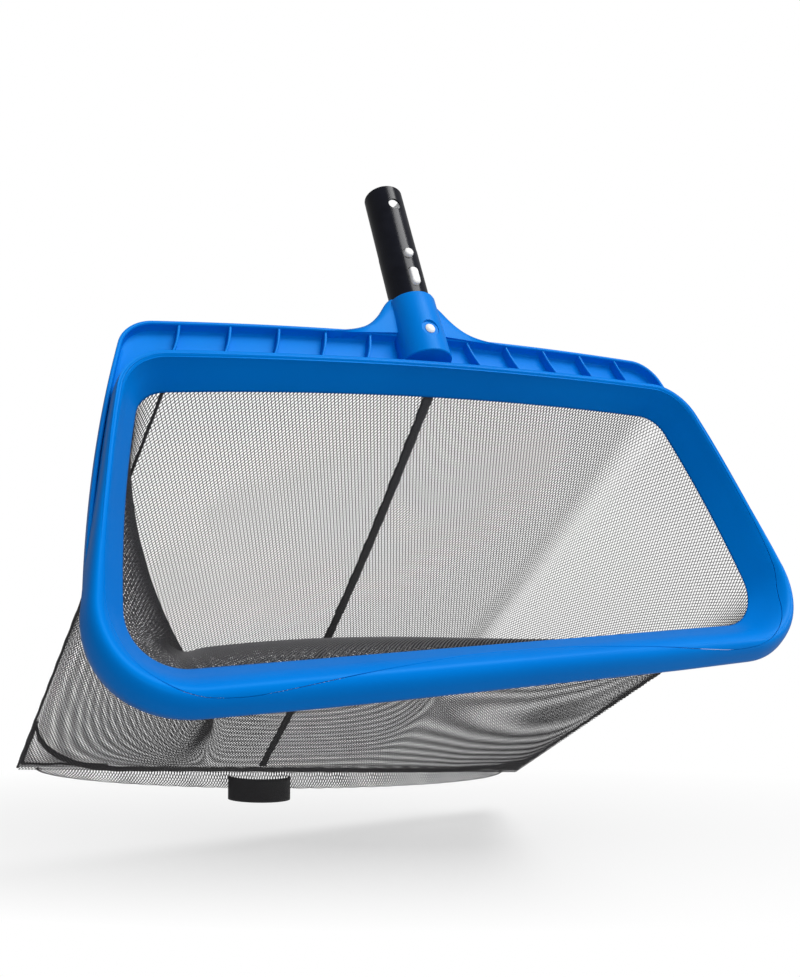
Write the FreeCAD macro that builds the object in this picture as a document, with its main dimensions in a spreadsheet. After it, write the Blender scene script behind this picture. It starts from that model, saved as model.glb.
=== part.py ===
import FreeCAD, Part
import math
import os
import Sketcher

os.makedirs("parts", exist_ok=True)
doc = FreeCAD.newDocument("leaf_skimmer_net")
V = FreeCAD.Vector

# Driving dimensions, in millimetres and degrees.
# The mouth frame has x across the net, y towards the handle in the plane of the mouth and z out of the
# mouth's front. Its zero is the middle of the leading edge, where the net leaves the ring.
SIZES = dict(
    mouth_half_handle=196.3,
    mouth_half_lead=218.9,
    mouth_length=171.6,
    handle_side_bow=8.6,
    side_bow=4.9,
    handle_corner_radius=20.5,
    lead_corner_radius=32.0,
    ring_depth=22.0,
    flare_handle_x=8.4,
    flare_handle_y=9.4,
    flare_lead_x=13.9,
    flare_lead_y=15.5,
    crest_handle_radius=24.0,
    crest_lead_radius=44.0,
    ring_wall=2.0,
    ring_lip_rise=1.8,
    ring_lip_reach=2.2,
    hem_thickness=0.8,
    hem_height=16.0,
    hem_clearance=0.2,
    cord_height=2.0,
    cord_depth=1.0,
    cord_clearance=0.2,
    frame_wall=2.4,
    rim_margin=3.4,
    skirt_half_handle=208.5,
    skirt_half_lead=243.5,
    skirt_lead_y=-27.0,
    skirt_lead_radius=50.0,
    nose_height=9.0,
    nose_lead_y=-30.0,
    flange_half_handle=203.0,
    flange_handle_y=218.0,
    flange_corner_radius=25.0,
    flange_web=2.5,
    flange_wall_height=10.0,
    rib_count=5,
    rib_first=41.0,
    rib_pitch=32.5,
    rib_lean=16.0,
    rib_thickness=1.8,
    rib_height=9.0,
    mouth_tilt=60.0,
    tube_lean=2.3,
    tube_axis_height=5.8,
    tube_reach=181.7,
    insert_radius=14.3,
    insert_length=56.0,
    tube_radius=14.5,
    tube_bore_radius=12.8,
    tube_length=146.0,
    tip_hole_from_tip=17.0,
    tip_hole_radius=4.75,
    pin_from_tip=64.0,
    pin_radius=3.5,
    pin_hole_clearance=0.7,
    pin_stand_out=2.5,
    tab_from_tip=85.0,
    tab_width=6.4,
    tab_length=15.0,
    tab_slot_clearance=1.0,
    socket_mouth_from_tip=100.0,
    socket_wall=2.85,
    socket_clearance=0.15,
    socket_floor=3.5,
    gusset_height=13.0,
    gusset_spread=30.0,
    gusset_neck_inset=4.0,
    gusset_waist_share=0.3,
    gusset_waist_rise=6.0,
    gusset_heel_depth=8.0,
    rivet_from_tip=132.0,
    rivet_radius=2.5,
    rivet_clearance=0.1,
    rivet_head_radius=3.6,
    rivet_head_height=1.6,
    spot_face_radius=6.2,
    spot_face_depth=1.0,
    washer_radius=5.0,
    washer_thickness=1.0,
    clip_width=9.0,
    clip_leg_thickness=2.4,
    clip_leg_radius=11.3,
    clip_root_radius=1.7,
    clip_root_offset=6.5,
    clip_root_wall=0.65,
    clip_bridge_tail=7.0,
    clip_pivot_from_tip=123.0,
    clip_pivot_clearance=0.25,
    clip_shoulder_from_tip=98.0,
    clip_leg_end_from_tip=57.0,
    bag_length=430.0,
    bag_end_half_width=251.0,
    bag_end_shift_x=13.0,
    bag_end_offset_y=38.5,
    bag_end_twist=7.6,
    bag_panel_thickness=1.6,
    bag_gap=0.4,
    bag_corner_cut=88.0,
    bag_upper_slack=10.0,
    bag_lower_bulge=60.0,
    bag_bulge_skew=0.85,
    bag_seam_allowance=20.0,
    seam_width=9.0,
    seam_thickness=3.4,
    side_seam_half=0.9,
    flap_gap=2.2,
    strap_width=8.0,
    strap_thickness=1.2,
    strap_end_aside=32.0,
    pull_length=62.0,
    pull_width=22.0,
    pull_bow=14.0,
    pull_clearance=4.0,
    pull_thickness=2.0,
    flap_thickness=1.6,
    end_hem_height=9.0,
    end_hem_thickness=2.4,
)

sheet = doc.addObject("Spreadsheet::Sheet", "sizes")
for row, (alias, number) in enumerate(SIZES.items(), start=1):
    sheet.set(f"A{row}", alias)
    sheet.set(f"B{row}", str(number))
    sheet.setAlias(f"B{row}", alias)
doc.recompute()


def size(alias):
    return float(sheet.get(alias))


# Frames that the pieces are placed in.
# The row's zero is on the tube's axis, half way along the stretch that goes into the pole.
TILT = FreeCAD.Rotation(V(1, 0, 0), size("mouth_tilt"))
LEAN = math.radians(size("tube_lean"))
AXIS = V(0, math.cos(LEAN), math.sin(LEAN))
TUBE_START = V(0, size("mouth_length"), size("tube_axis_height"))
TIP = TUBE_START + AXIS * size("tube_reach")
MOUNT_POINT = TIP - AXIS * (size("insert_length") / 2)
MOUTH = FreeCAD.Placement(TILT.multVec(MOUNT_POINT) * -1, TILT)
HANDLE_TURN = FreeCAD.Rotation(V(1, 0, 0), size("tube_lean") - 90)
HANDLE = MOUTH.multiply(FreeCAD.Placement(TIP, HANDLE_TURN))


# Outlines of the mouth.
# Each is a trapezium with a bowed handle side, bowed sides, a straight leading side and four round
# corners. grow moves the whole outline outwards by one distance, so two outlines stay that far apart.
def between(low, high, share):
    return low + (high - low) * share


def ring_outline(height, grow=0.0):
    share = height / size("ring_depth")
    flare_x = size("flare_handle_x") * share
    flare_y = size("flare_handle_y") * share
    return outline(
        half_handle=size("mouth_half_handle") + flare_x,
        handle_y=size("mouth_length") + flare_y,
        half_lead=size("mouth_half_lead") + size("flare_lead_x") * share,
        lead_y=-size("flare_lead_y") * share,
        handle_radius=between(size("handle_corner_radius"), size("crest_handle_radius"), share),
        lead_radius=between(size("lead_corner_radius"), size("crest_lead_radius"), share),
        grow=grow,
    )


def outline(half_handle, handle_y, half_lead, lead_y, handle_radius, lead_radius, grow=0.0):
    bow = size("handle_side_bow")
    top_radius = (half_handle**2 + bow**2) / (2 * bow)
    top_centre = V(0, handle_y + bow - top_radius, 0)
    upper = V(half_handle, handle_y, 0)
    lower = V(half_lead, lead_y, 0)
    chord = upper - lower
    sag = size("side_bow")
    side_radius = (chord.Length**2 / 4 + sag**2) / (2 * sag)
    inward = V(-chord.y, chord.x, 0).normalize()
    side_centre = (upper + lower) * 0.5 + inward * (side_radius - sag)
    upper_centre = meet(top_centre, top_radius - handle_radius, side_centre, side_radius - handle_radius)
    lower_y = lead_y + lead_radius
    reach = side_radius - lead_radius
    lower_centre = V(side_centre.x + math.sqrt(reach**2 - (lower_y - side_centre.y) ** 2), lower_y, 0)
    top = circle_point(top_centre, upper_centre, top_radius + grow)
    shoulder = circle_point(side_centre, upper_centre, side_radius + grow)
    hip = circle_point(side_centre, lower_centre, side_radius + grow)
    toe = V(lower_centre.x, lead_y - grow, 0)
    return dict(
        top=top,
        shoulder=shoulder,
        hip=hip,
        toe=toe,
        top_middle=V(0, top_centre.y + top_radius + grow, 0),
        upper_middle=arc_middle(upper_centre, top, shoulder),
        side_middle=arc_middle(side_centre, shoulder, hip),
        lower_middle=arc_middle(lower_centre, hip, toe),
    )


def meet(first, first_radius, second, second_radius):
    apart = second - first
    along = (first_radius**2 - second_radius**2 + apart.Length**2) / (2 * apart.Length)
    across = math.sqrt(max(first_radius**2 - along**2, 0))
    direction = V(apart).normalize()
    normal = V(-direction.y, direction.x, 0)
    foot = first + direction * along
    return max((foot + normal * across, foot - normal * across), key=lambda point: point.x + point.y)


def circle_point(centre, through, radius):
    return centre + (through - centre).normalize() * radius


def arc_middle(centre, start, end):
    middle = (start + end) * 0.5 - centre
    return centre + middle.normalize() * (start - centre).Length


def mirrored(point):
    return V(-point.x, point.y, point.z)


def outline_curves(points):
    right = [
        Part.Arc(points["top"], points["upper_middle"], points["shoulder"]),
        Part.Arc(points["shoulder"], points["side_middle"], points["hip"]),
        Part.Arc(points["hip"], points["lower_middle"], points["toe"]),
        Part.LineSegment(points["toe"], mirrored(points["toe"])),
    ]
    left = [
        Part.Arc(mirrored(points["toe"]), mirrored(points["lower_middle"]), mirrored(points["hip"])),
        Part.Arc(mirrored(points["hip"]), mirrored(points["side_middle"]), mirrored(points["shoulder"])),
        Part.Arc(mirrored(points["shoulder"]), mirrored(points["upper_middle"]), mirrored(points["top"])),
        Part.Arc(mirrored(points["top"]), points["top_middle"], points["top"]),
    ]
    return right + left


def skirt_outline(height, grow=0.0):
    crest = size("ring_depth")
    margin = size("rim_margin")
    nose = size("nose_height")
    crest_share = (height - nose) / (crest - nose) if height > nose else 0.0
    nose_y = size("nose_lead_y")
    if height > nose:
        lead_y = between(nose_y, -size("flare_lead_y") - margin, crest_share)
    else:
        lead_y = between(size("skirt_lead_y"), nose_y, height / nose)
    share = height / crest
    crest_half_handle = size("mouth_half_handle") + size("flare_handle_x") + margin
    crest_half_lead = size("mouth_half_lead") + size("flare_lead_x") + margin
    return outline(
        half_handle=between(size("skirt_half_handle"), crest_half_handle, share),
        handle_y=size("mouth_length") + size("flare_handle_y") + margin * share,
        half_lead=between(size("skirt_half_lead"), crest_half_lead, share),
        lead_y=lead_y,
        handle_radius=size("crest_handle_radius") + margin,
        lead_radius=between(size("skirt_lead_radius"), size("crest_lead_radius") + margin, share),
        grow=grow,
    )


def flange_outline(grow=0.0):
    return outline(
        half_handle=size("flange_half_handle"),
        handle_y=size("flange_handle_y"),
        half_lead=size("skirt_half_lead"),
        lead_y=size("skirt_lead_y"),
        handle_radius=size("flange_corner_radius"),
        lead_radius=size("skirt_lead_radius"),
        grow=grow,
    )


# Bodies, sketches and features.
def new_body(name, placement):
    body = doc.addObject("PartDesign::Body", name)
    body.Label = name
    body.Placement = placement
    return body


def origin_plane(body, role):
    return next(part for part in body.Origin.OriginFeatures if part.Role == role)


def new_sketch(body, name, role="XY_Plane", offset=None):
    sketch = body.newObject("Sketcher::SketchObject", name)
    sketch.AttachmentSupport = (origin_plane(body, role), [""])
    sketch.MapMode = "FlatFace"
    if offset:
        sketch.setExpression("AttachmentOffset.Base.z", offset)
    return sketch


def add_loop(sketch, curves):
    first = sketch.GeometryCount
    sketch.addGeometry(curves, False)
    count = len(curves)
    for index, curve in enumerate(curves):
        following = first + (index + 1) % count
        end = 1 if reversed_arc(sketch, first + index, curve) else 2
        start = 2 if reversed_arc(sketch, following, curves[(index + 1) % count]) else 1
        sketch.addConstraint(Sketcher.Constraint("Coincident", first + index, end, following, start))


def reversed_arc(sketch, index, curve):
    if isinstance(curve, Part.LineSegment):
        return False
    stored = sketch.getPoint(index, 1)
    return (stored - curve.StartPoint).Length > (stored - curve.EndPoint).Length


def outline_sketch(body, name, height, points):
    sketch = new_sketch(body, name, offset=height)
    add_loop(sketch, outline_curves(points))
    return sketch


def loft(body, kind, name, sketches):
    feature = body.newObject("PartDesign::" + kind, name)
    feature.Profile = sketches[0]
    feature.Sections = sketches[1:]
    feature.Ruled = True
    return feature


def pad(body, name, sketch, length, kind="Pad", backwards=False, middle=False):
    feature = body.newObject("PartDesign::" + kind, name)
    feature.Profile = sketch
    feature.setExpression("Length", length)
    feature.Reversed = backwards
    feature.Midplane = middle
    return feature


def cylinder(body, kind, name, radius, height, placement):
    feature = body.newObject("PartDesign::" + kind, name)
    feature.AttachmentSupport = (origin_plane(body, "XY_Plane"), [""])
    feature.MapMode = "FlatFace"
    feature.AttachmentOffset = placement
    feature.setExpression("Radius", radius)
    feature.setExpression("Height", height)
    return feature


def circle_sketch(body, name, role, centres, radius, offset=None):
    sketch = new_sketch(body, name, role, offset)
    for x, y in centres:
        index = sketch.addGeometry(Part.Circle(V(x, y, 0), V(0, 0, 1), size_of(radius)), False)
        dimension = sketch.addConstraint(Sketcher.Constraint("Radius", index, size_of(radius)))
        sketch.setExpression(f"Constraints[{dimension}]", radius)
    return sketch


def size_of(expression):
    words = expression.split()
    total = 0.0
    sign = 1
    for word in words:
        if word in "+-":
            sign = 1 if word == "+" else -1
        else:
            total += sign * size(word.replace("sizes.", ""))
    return total


# The frame moulding.
# One blue moulding: a rounded leading lip and skirt, a funnel wall that the ring lies in, a ribbed
# flange on the handle side and the socket for the tube.
CREST = "sizes.ring_depth"
ABOVE = 1.0
frame = new_body("frame_moulding", MOUTH)
seat_grow = size("ring_wall") + size("hem_thickness") + 2 * size("hem_clearance")
funnel_grow = seat_grow + size("frame_wall")
crest_height = size("ring_depth")
nose_height = size("nose_height")
skirt = [
    outline_sketch(frame, "skirt_rear", None, skirt_outline(0)),
    outline_sketch(frame, "skirt_nose", "sizes.nose_height", skirt_outline(nose_height)),
    outline_sketch(frame, "skirt_crest", CREST, skirt_outline(crest_height)),
]
loft(frame, "AdditiveLoft", "skirt", skirt)
cavity_top = crest_height - size("frame_wall")
wall = -size("frame_wall")
cavity = [
    outline_sketch(frame, "cavity_rear", "-1", skirt_outline(0, wall)),
    outline_sketch(frame, "cavity_nose", "sizes.nose_height", skirt_outline(nose_height, wall)),
    outline_sketch(
        frame, "cavity_top", "sizes.ring_depth - sizes.frame_wall", skirt_outline(cavity_top, wall)
    ),
]
loft(frame, "SubtractiveLoft", "cavity", cavity)
funnel = [
    outline_sketch(frame, "funnel_rear", None, ring_outline(0, funnel_grow)),
    outline_sketch(frame, "funnel_top", "sizes.ring_depth - sizes.frame_wall / 2",
                   ring_outline(crest_height - size("frame_wall") / 2, funnel_grow)),
]
loft(frame, "AdditiveLoft", "funnel", funnel)
web = outline_sketch(frame, "web_outline", None, flange_outline())
add_loop(web, outline_curves(skirt_outline(0, wall)))
pad(frame, "flange_web", web, "sizes.flange_web")
edge = outline_sketch(frame, "wall_outline", None, flange_outline())
add_loop(edge, outline_curves(flange_outline(wall)))
pad(frame, "flange_wall", edge, "sizes.flange_wall_height")

ribs = new_sketch(frame, "rib_outlines")
rib_foot = size("mouth_length") + size("flare_handle_y") + size("rim_margin")
rib_half = size("rib_thickness") / 2
for side in (-1, 1):
    for number in range(int(size("rib_count"))):
        outer_x = size("rib_first") + number * size("rib_pitch")
        inner_x = outer_x + size("rib_lean")
        bow_share = 1 - (outer_x / size("flange_half_handle")) ** 2
        outer_y = size("flange_handle_y") + size("handle_side_bow") * bow_share - size("frame_wall") / 2
        corners = [
            V(side * (outer_x - rib_half), outer_y, 0),
            V(side * (outer_x + rib_half), outer_y, 0),
            V(side * (inner_x + rib_half), rib_foot, 0),
            V(side * (inner_x - rib_half), rib_foot, 0),
        ]
        edges = [Part.LineSegment(corners[i], corners[(i + 1) % 4]) for i in range(4)]
        add_loop(ribs, edges)
pad(frame, "ribs", ribs, "sizes.rib_height")


# The socket, with its flared gussets.
def on_tube(from_tip):
    return TIP - AXIS * from_tip


ALONG_TUBE = FreeCAD.Rotation(V(0, 0, 1), AXIS)
ACROSS_TUBE = FreeCAD.Rotation(V(0, 0, 1), V(0, math.sin(LEAN), -math.cos(LEAN)))
socket_radius = size("tube_radius") + size("socket_clearance") + size("socket_wall")
boss_end = size("tube_length") + size("socket_clearance") + size("socket_floor")
gusset = new_sketch(frame, "gusset_outline")
mouth_y = on_tube(size("socket_mouth_from_tip")).y
flange_y = size("flange_handle_y") + size("handle_side_bow") - size("frame_wall")
foot_x = socket_radius + size("gusset_spread")
neck = V(socket_radius, mouth_y - size("gusset_neck_inset"), 0)
waist_x = between(socket_radius, foot_x, size("gusset_waist_share"))
waist = V(waist_x, flange_y + size("gusset_waist_rise"), 0)
foot = V(foot_x, flange_y, 0)
heel = V(foot_x, flange_y - size("gusset_heel_depth"), 0)
gusset_right = [Part.Arc(neck, waist, foot), Part.LineSegment(foot, heel)]
gusset_left = [
    Part.LineSegment(heel, mirrored(heel)),
    Part.LineSegment(mirrored(heel), mirrored(foot)),
    Part.Arc(mirrored(foot), mirrored(waist), mirrored(neck)),
    Part.LineSegment(mirrored(neck), neck),
]
add_loop(gusset, gusset_right + gusset_left)
pad(frame, "gussets", gusset, "sizes.gusset_height")
cylinder(
    frame, "AdditiveCylinder", "socket",
    "sizes.tube_radius + sizes.socket_clearance + sizes.socket_wall",
    "sizes.tube_length + sizes.socket_clearance + sizes.socket_floor - sizes.socket_mouth_from_tip",
    FreeCAD.Placement(on_tube(boss_end), ALONG_TUBE),
)
cylinder(
    frame, "SubtractiveCylinder", "socket_bore",
    "sizes.tube_radius + sizes.socket_clearance",
    "sizes.tube_length",
    FreeCAD.Placement(on_tube(size("tube_length") + size("socket_clearance")), ALONG_TUBE),
)
spot_face = socket_radius - size("spot_face_depth")
rivet_centre = on_tube(size("rivet_from_tip"))
FRONT = V(0, -math.sin(LEAN), math.cos(LEAN))
cylinder(
    frame, "SubtractiveCylinder", "rivet_hole",
    "sizes.rivet_radius + sizes.rivet_clearance",
    "4 * sizes.tube_radius",
    FreeCAD.Placement(rivet_centre + FRONT * (2 * size("tube_radius")), ACROSS_TUBE),
)
for facing, turn in ((1, FreeCAD.Rotation(V(0, 0, 1), FRONT)), (-1, ACROSS_TUBE)):
    cylinder(
        frame, "SubtractiveCylinder", "spot_face_front" if facing == 1 else "spot_face_rear",
        "sizes.spot_face_radius", "sizes.tube_radius",
        FreeCAD.Placement(rivet_centre + FRONT * (facing * spot_face), turn),
    )
opening = [
    outline_sketch(frame, "seat_rear", "-1", ring_outline(-ABOVE, seat_grow)),
    outline_sketch(
        frame, "seat_front", "sizes.ring_depth + 1", ring_outline(crest_height + ABOVE, seat_grow)
    ),
]
loft(frame, "SubtractiveLoft", "ring_seat", opening)

# The clamp ring.
# A blue funnel that snaps into the frame and traps the net's hem. Its lip covers the joint, and a
# groove round its back holds the cord in the hem.
ring = new_body("clamp_ring", MOUTH)
ring_wall = size("ring_wall")
loft(ring, "AdditiveLoft", "funnel_outside", [
    outline_sketch(ring, "outside_rear", None, ring_outline(0, ring_wall)),
    outline_sketch(ring, "outside_crest", CREST, ring_outline(crest_height, ring_wall)),
])
lip_grow = ring_wall + size("ring_lip_reach")
lip = outline_sketch(ring, "lip_outline", "sizes.ring_depth", ring_outline(crest_height, lip_grow))
pad(ring, "lip", lip, "sizes.ring_lip_rise")
loft(ring, "SubtractiveLoft", "funnel_inside", [
    outline_sketch(ring, "inside_rear", "-1", ring_outline(-ABOVE)),
    outline_sketch(ring, "inside_crest", "sizes.ring_depth + sizes.ring_lip_rise + 1",
                   ring_outline(crest_height + size("ring_lip_rise") + ABOVE)),
])


# Bands that follow the ring's wall, such as the hem and the groove of its cord.
def band(body, low, high, inner, outer, low_text, high_text, word):
    outer_pair = [
        outline_sketch(body, word + "_outer_low", low_text, ring_outline(low, outer)),
        outline_sketch(body, word + "_outer_high", high_text, ring_outline(high, outer)),
    ]
    loft(body, "AdditiveLoft", word, outer_pair)
    inner_pair = [
        outline_sketch(body, word + "_inner_low", low_text + " - 1", ring_outline(low - ABOVE, inner)),
        outline_sketch(body, word + "_inner_high", high_text + " + 1", ring_outline(high + ABOVE, inner)),
    ]
    loft(body, "SubtractiveLoft", word + "_inside", inner_pair)


cord_low = size("hem_height") + size("cord_clearance")
cord_top = cord_low + size("cord_height")
cord_inner = ring_wall - size("cord_depth") + size("cord_clearance")
hem_inner = ring_wall + size("hem_clearance")
hem_outer = hem_inner + size("hem_thickness")
hem = new_body("mouth_hem", MOUTH)
band(hem, 0, size("hem_height"), hem_inner, hem_outer, "0", "sizes.hem_height", "hem_band")
cord = new_body("hem_cord", MOUTH)
band(cord, cord_low, cord_top, cord_inner, hem_outer,
     "sizes.hem_height + sizes.cord_clearance",
     "sizes.hem_height + sizes.cord_clearance + sizes.cord_height", "cord_band")

# The groove of the cord is a ring of its own, taken out of the back of the clamp ring.
groove_tool = new_body("cord_groove", MOUTH)
band(groove_tool, cord_low - size("cord_clearance"), cord_top + size("cord_clearance"),
     ring_wall - size("cord_depth"), ring_wall + ABOVE,
     "sizes.hem_height",
     "sizes.hem_height + 2 * sizes.cord_clearance + sizes.cord_height", "groove_band")
clamp = doc.addObject("Part::Cut", "clamp_ring_grooved")
clamp.Base = ring
clamp.Tool = groove_tool
ring.Label = "clamp_ring_plain"
clamp.Label = "clamp_ring"

# The tube.
# Black anodised aluminium. The stretch that goes into the pole is drawn slightly smaller, and holes
# through both walls let the lock pins, the finger tabs and the rivet through.
tube = new_body("tube", HANDLE)
insert = circle_sketch(tube, "insert_circle", "XY_Plane", [(0, 0)], "sizes.insert_radius")
pad(tube, "insert", insert, "sizes.insert_length", backwards=True)
body_circle = circle_sketch(
    tube, "body_circle", "XY_Plane", [(0, 0)], "sizes.tube_radius", "-sizes.insert_length"
)
pad(tube, "body_stretch", body_circle, "sizes.tube_length - sizes.insert_length", backwards=True)
bore = circle_sketch(tube, "bore_circle", "XY_Plane", [(0, 0)], "sizes.tube_bore_radius")
pad(tube, "bore", bore, "sizes.tube_length", kind="Pocket")
for word, place, radius in (
    ("tip_hole", "tip_hole_from_tip", "sizes.tip_hole_radius"),
    ("pin_holes", "pin_from_tip", "sizes.pin_radius + sizes.pin_hole_clearance"),
    ("rivet_holes", "rivet_from_tip", "sizes.rivet_radius + sizes.rivet_clearance"),
):
    sketch = circle_sketch(tube, word + "_circle", "XZ_Plane", [(0, -size(place))], radius)
    pad(tube, word, sketch, "4 * sizes.tube_radius", kind="Pocket", middle=True)


def slot_curves(centre_y, width, length):
    half = width / 2
    straight = length / 2 - half
    top = V(0, centre_y + straight, 0)
    low = V(0, centre_y - straight, 0)
    right = V(half, 0, 0)
    return [
        Part.Arc(top + right, top + V(0, half, 0), top - right),
        Part.LineSegment(top - right, low - right),
        Part.Arc(low - right, low - V(0, half, 0), low + right),
        Part.LineSegment(low + right, top + right),
    ]


slot = new_sketch(tube, "tab_slot_outline", "XZ_Plane")
add_loop(slot, slot_curves(
    -size("tab_from_tip"),
    size("tab_width") + size("tab_slot_clearance"),
    size("tab_length") + 2 * size("tab_slot_clearance"),
))
pad(tube, "tab_slots", slot, "4 * sizes.tube_radius", kind="Pocket", middle=True)

# The spring clip.
# One springy nylon part in life: a bridge held by the rivet and two legs whose lock pins and finger
# tabs stand out of the tube. Here each leg turns about its root, in a round seat in the bridge.
pivot_z = -size("clip_pivot_from_tip")
root_seat = size("clip_root_radius") + size("clip_pivot_clearance")
bridge_half = size("clip_root_offset") + root_seat + size("clip_root_wall")
bridge_low = -(size("rivet_from_tip") + size("clip_bridge_tail"))
bridge_curves = [
    Part.LineSegment(V(-bridge_half, bridge_low, 0), V(bridge_half, bridge_low, 0)),
    Part.LineSegment(V(bridge_half, bridge_low, 0), V(bridge_half, pivot_z, 0)),
    Part.LineSegment(V(bridge_half, pivot_z, 0), V(-bridge_half, pivot_z, 0)),
    Part.LineSegment(V(-bridge_half, pivot_z, 0), V(-bridge_half, bridge_low, 0)),
]
bridge = new_body("clip_bridge", HANDLE)
bridge_sketch = new_sketch(bridge, "bridge_outline", "YZ_Plane")
add_loop(bridge_sketch, bridge_curves)
pad(bridge, "bridge_block", bridge_sketch, "sizes.clip_width", middle=True)
seats = circle_sketch(
    bridge, "root_seats", "YZ_Plane",
    [(-size("clip_root_offset"), pivot_z), (size("clip_root_offset"), pivot_z)],
    "sizes.clip_root_radius + sizes.clip_pivot_clearance",
)
pad(bridge, "seats", seats, "2 * sizes.clip_width", kind="Pocket", middle=True)
bridge_hole = circle_sketch(
    bridge, "bridge_hole_circle", "XZ_Plane", [(0, -size("rivet_from_tip"))],
    "sizes.rivet_radius + sizes.rivet_clearance",
)
pad(bridge, "bridge_hole", bridge_hole, "4 * sizes.tube_radius", kind="Pocket", middle=True)


def clip_leg(name, facing):
    leg = new_body(name, HANDLE)
    outer = size("clip_leg_radius")
    inner = outer - size("clip_leg_thickness")
    root = size("clip_root_offset")
    half = size("clip_leg_thickness") / 2
    shoulder = -size("clip_shoulder_from_tip")
    end = -size("clip_leg_end_from_tip")
    points = [
        V(facing * (root - half), pivot_z, 0),
        V(facing * (root + half), pivot_z, 0),
        V(facing * outer, shoulder, 0),
        V(facing * outer, end, 0),
        V(facing * inner, end, 0),
        V(facing * inner, shoulder, 0),
    ]
    strip = new_sketch(leg, name + "_outline", "YZ_Plane")
    add_loop(strip, [Part.LineSegment(points[i], points[(i + 1) % 6]) for i in range(6)])
    pad(leg, name + "_strip", strip, "sizes.clip_width", middle=True)
    root_circle = circle_sketch(
        leg, name + "_root_circle", "YZ_Plane", [(facing * root, pivot_z)], "sizes.clip_root_radius"
    )
    pad(leg, name + "_root", root_circle, "sizes.clip_width", middle=True)
    lift = f"{'' if facing < 0 else '-'}sizes.clip_leg_radius"
    base = f"{'' if facing < 0 else '-'}(sizes.clip_leg_radius - sizes.clip_leg_thickness / 2)"
    pin = circle_sketch(
        leg, name + "_pin_circle", "XZ_Plane", [(0, -size("pin_from_tip"))], "sizes.pin_radius", base
    )
    reach = "sizes.tube_radius + sizes.pin_stand_out - sizes.clip_leg_radius + sizes.clip_leg_thickness / 2"
    pad(leg, name + "_pin", pin, reach, backwards=facing > 0)
    tab = new_sketch(leg, name + "_tab_outline", "XZ_Plane", base)
    add_loop(tab, slot_curves(-size("tab_from_tip"), size("tab_width"), size("tab_length")))
    pad(leg, name + "_tab", tab, reach, backwards=facing > 0)


clip_leg("clip_leg_front", -1)
clip_leg("clip_leg_rear", 1)

# The rivet through the socket, and its washer at the back.
rivet = new_body("socket_rivet", HANDLE)
rivet_z = -size("rivet_from_tip")
SPOT_FACE = "sizes.tube_radius + sizes.socket_clearance + sizes.socket_wall - sizes.spot_face_depth"
shank = circle_sketch(
    rivet, "shank_circle", "XZ_Plane", [(0, rivet_z)], "sizes.rivet_radius",
    SPOT_FACE,
)
pad(rivet, "shank", shank, f"2 * ({SPOT_FACE}) + sizes.washer_thickness", backwards=True)
front_head = circle_sketch(
    rivet, "front_head_circle", "XZ_Plane", [(0, rivet_z)], "sizes.rivet_head_radius",
    SPOT_FACE,
)
pad(rivet, "front_head", front_head, "sizes.rivet_head_height")
rear_head = circle_sketch(
    rivet, "rear_head_circle", "XZ_Plane", [(0, rivet_z)], "sizes.rivet_head_radius",
    f"-({SPOT_FACE} + sizes.washer_thickness)",
)
pad(rivet, "rear_head", rear_head, "sizes.rivet_head_height", backwards=True)
washer = new_body("rivet_washer", HANDLE)
washer_sketch = circle_sketch(
    washer, "washer_circles", "XZ_Plane", [(0, rivet_z)], "sizes.washer_radius",
    f"-({SPOT_FACE})",
)
hole_index = washer_sketch.addGeometry(
    Part.Circle(V(0, rivet_z, 0), V(0, 0, 1), size_of("sizes.rivet_radius + sizes.rivet_clearance")), False
)
hole_radius = washer_sketch.addConstraint(
    Sketcher.Constraint("Radius", hole_index, size_of("sizes.rivet_radius + sizes.rivet_clearance"))
)
washer_sketch.setExpression(f"Constraints[{hole_radius}]", "sizes.rivet_radius + sizes.rivet_clearance")
pad(washer, "washer_disc", washer_sketch, "sizes.washer_thickness", backwards=True)

# The bag.
# A pillowcase of netting: two panels sewn together down both sides and round the far end. The bag is
# turned in the mouth: the left seam starts at the corner beside the handle and the right seam at the
# leading corner opposite, so the upper panel takes the handle side and the right side, and the lower
# panel takes the left side and the leading side. The far end hangs level, and its corners are rounded
# by the seam, which leaves a flat flap of netting at each.
STATIONS = 6
LINES = 12
COLUMNS = range(2 * LINES + 1)
slack_end = 1 - size("bag_seam_allowance") / size("bag_length")
station_shares = [slack_end * station / STATIONS for station in range(STATIONS + 1)]
end_turn = math.radians(-size("bag_end_twist"))
end_middle = V(size("bag_end_shift_x"), size("bag_end_offset_y"), -size("bag_length"))
end_direction = V(math.cos(end_turn), math.sin(end_turn), 0)
bag_outline = ring_outline(0, hem_inner + size("hem_thickness") / 2)
half_panel = size("bag_panel_thickness") / 2
half_seam = size("seam_thickness") / 2
gap = size("bag_gap")
seam_inset = half_panel + size("side_seam_half") * math.sqrt(2) + gap
DOWN = TILT.inverted().multVec(V(0, 0, -1))
BACK = TILT.inverted().multVec(V(0, 1, 0))

rim_edges = [curve.toShape() for curve in outline_curves(bag_outline)]
rim_edges = rim_edges[-1:] + rim_edges[:-1]
rim = Part.Wire(rim_edges)
column_step = rim.Length / (4 * LINES)
MOUTH_LINE = rim.discretize(Number=4 * LINES + 1)[:-1]
SIDE_START = {-1: MOUTH_LINE[0], 1: MOUTH_LINE[2 * LINES]}


def mouth_points(side):
    found = MOUTH_LINE[:2 * LINES + 1]
    if side == "lower":
        found = MOUTH_LINE[:1] + MOUTH_LINE[:2 * LINES - 1:-1]
    for end, beside in ((0, 1), (-1, -2)):
        found[end] = found[end] + (found[beside] - found[end]).normalize() * seam_inset
    return found


def inward_normals(side):
    points = MOUTH_POINTS[side]
    facing = FACING[side]
    normals = []
    for column in COLUMNS:
        run = points[min(column + 1, 2 * LINES)] - points[max(column - 1, 0)]
        normals.append(V(run.y, -run.x, 0).normalize() * facing)
    return normals


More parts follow.
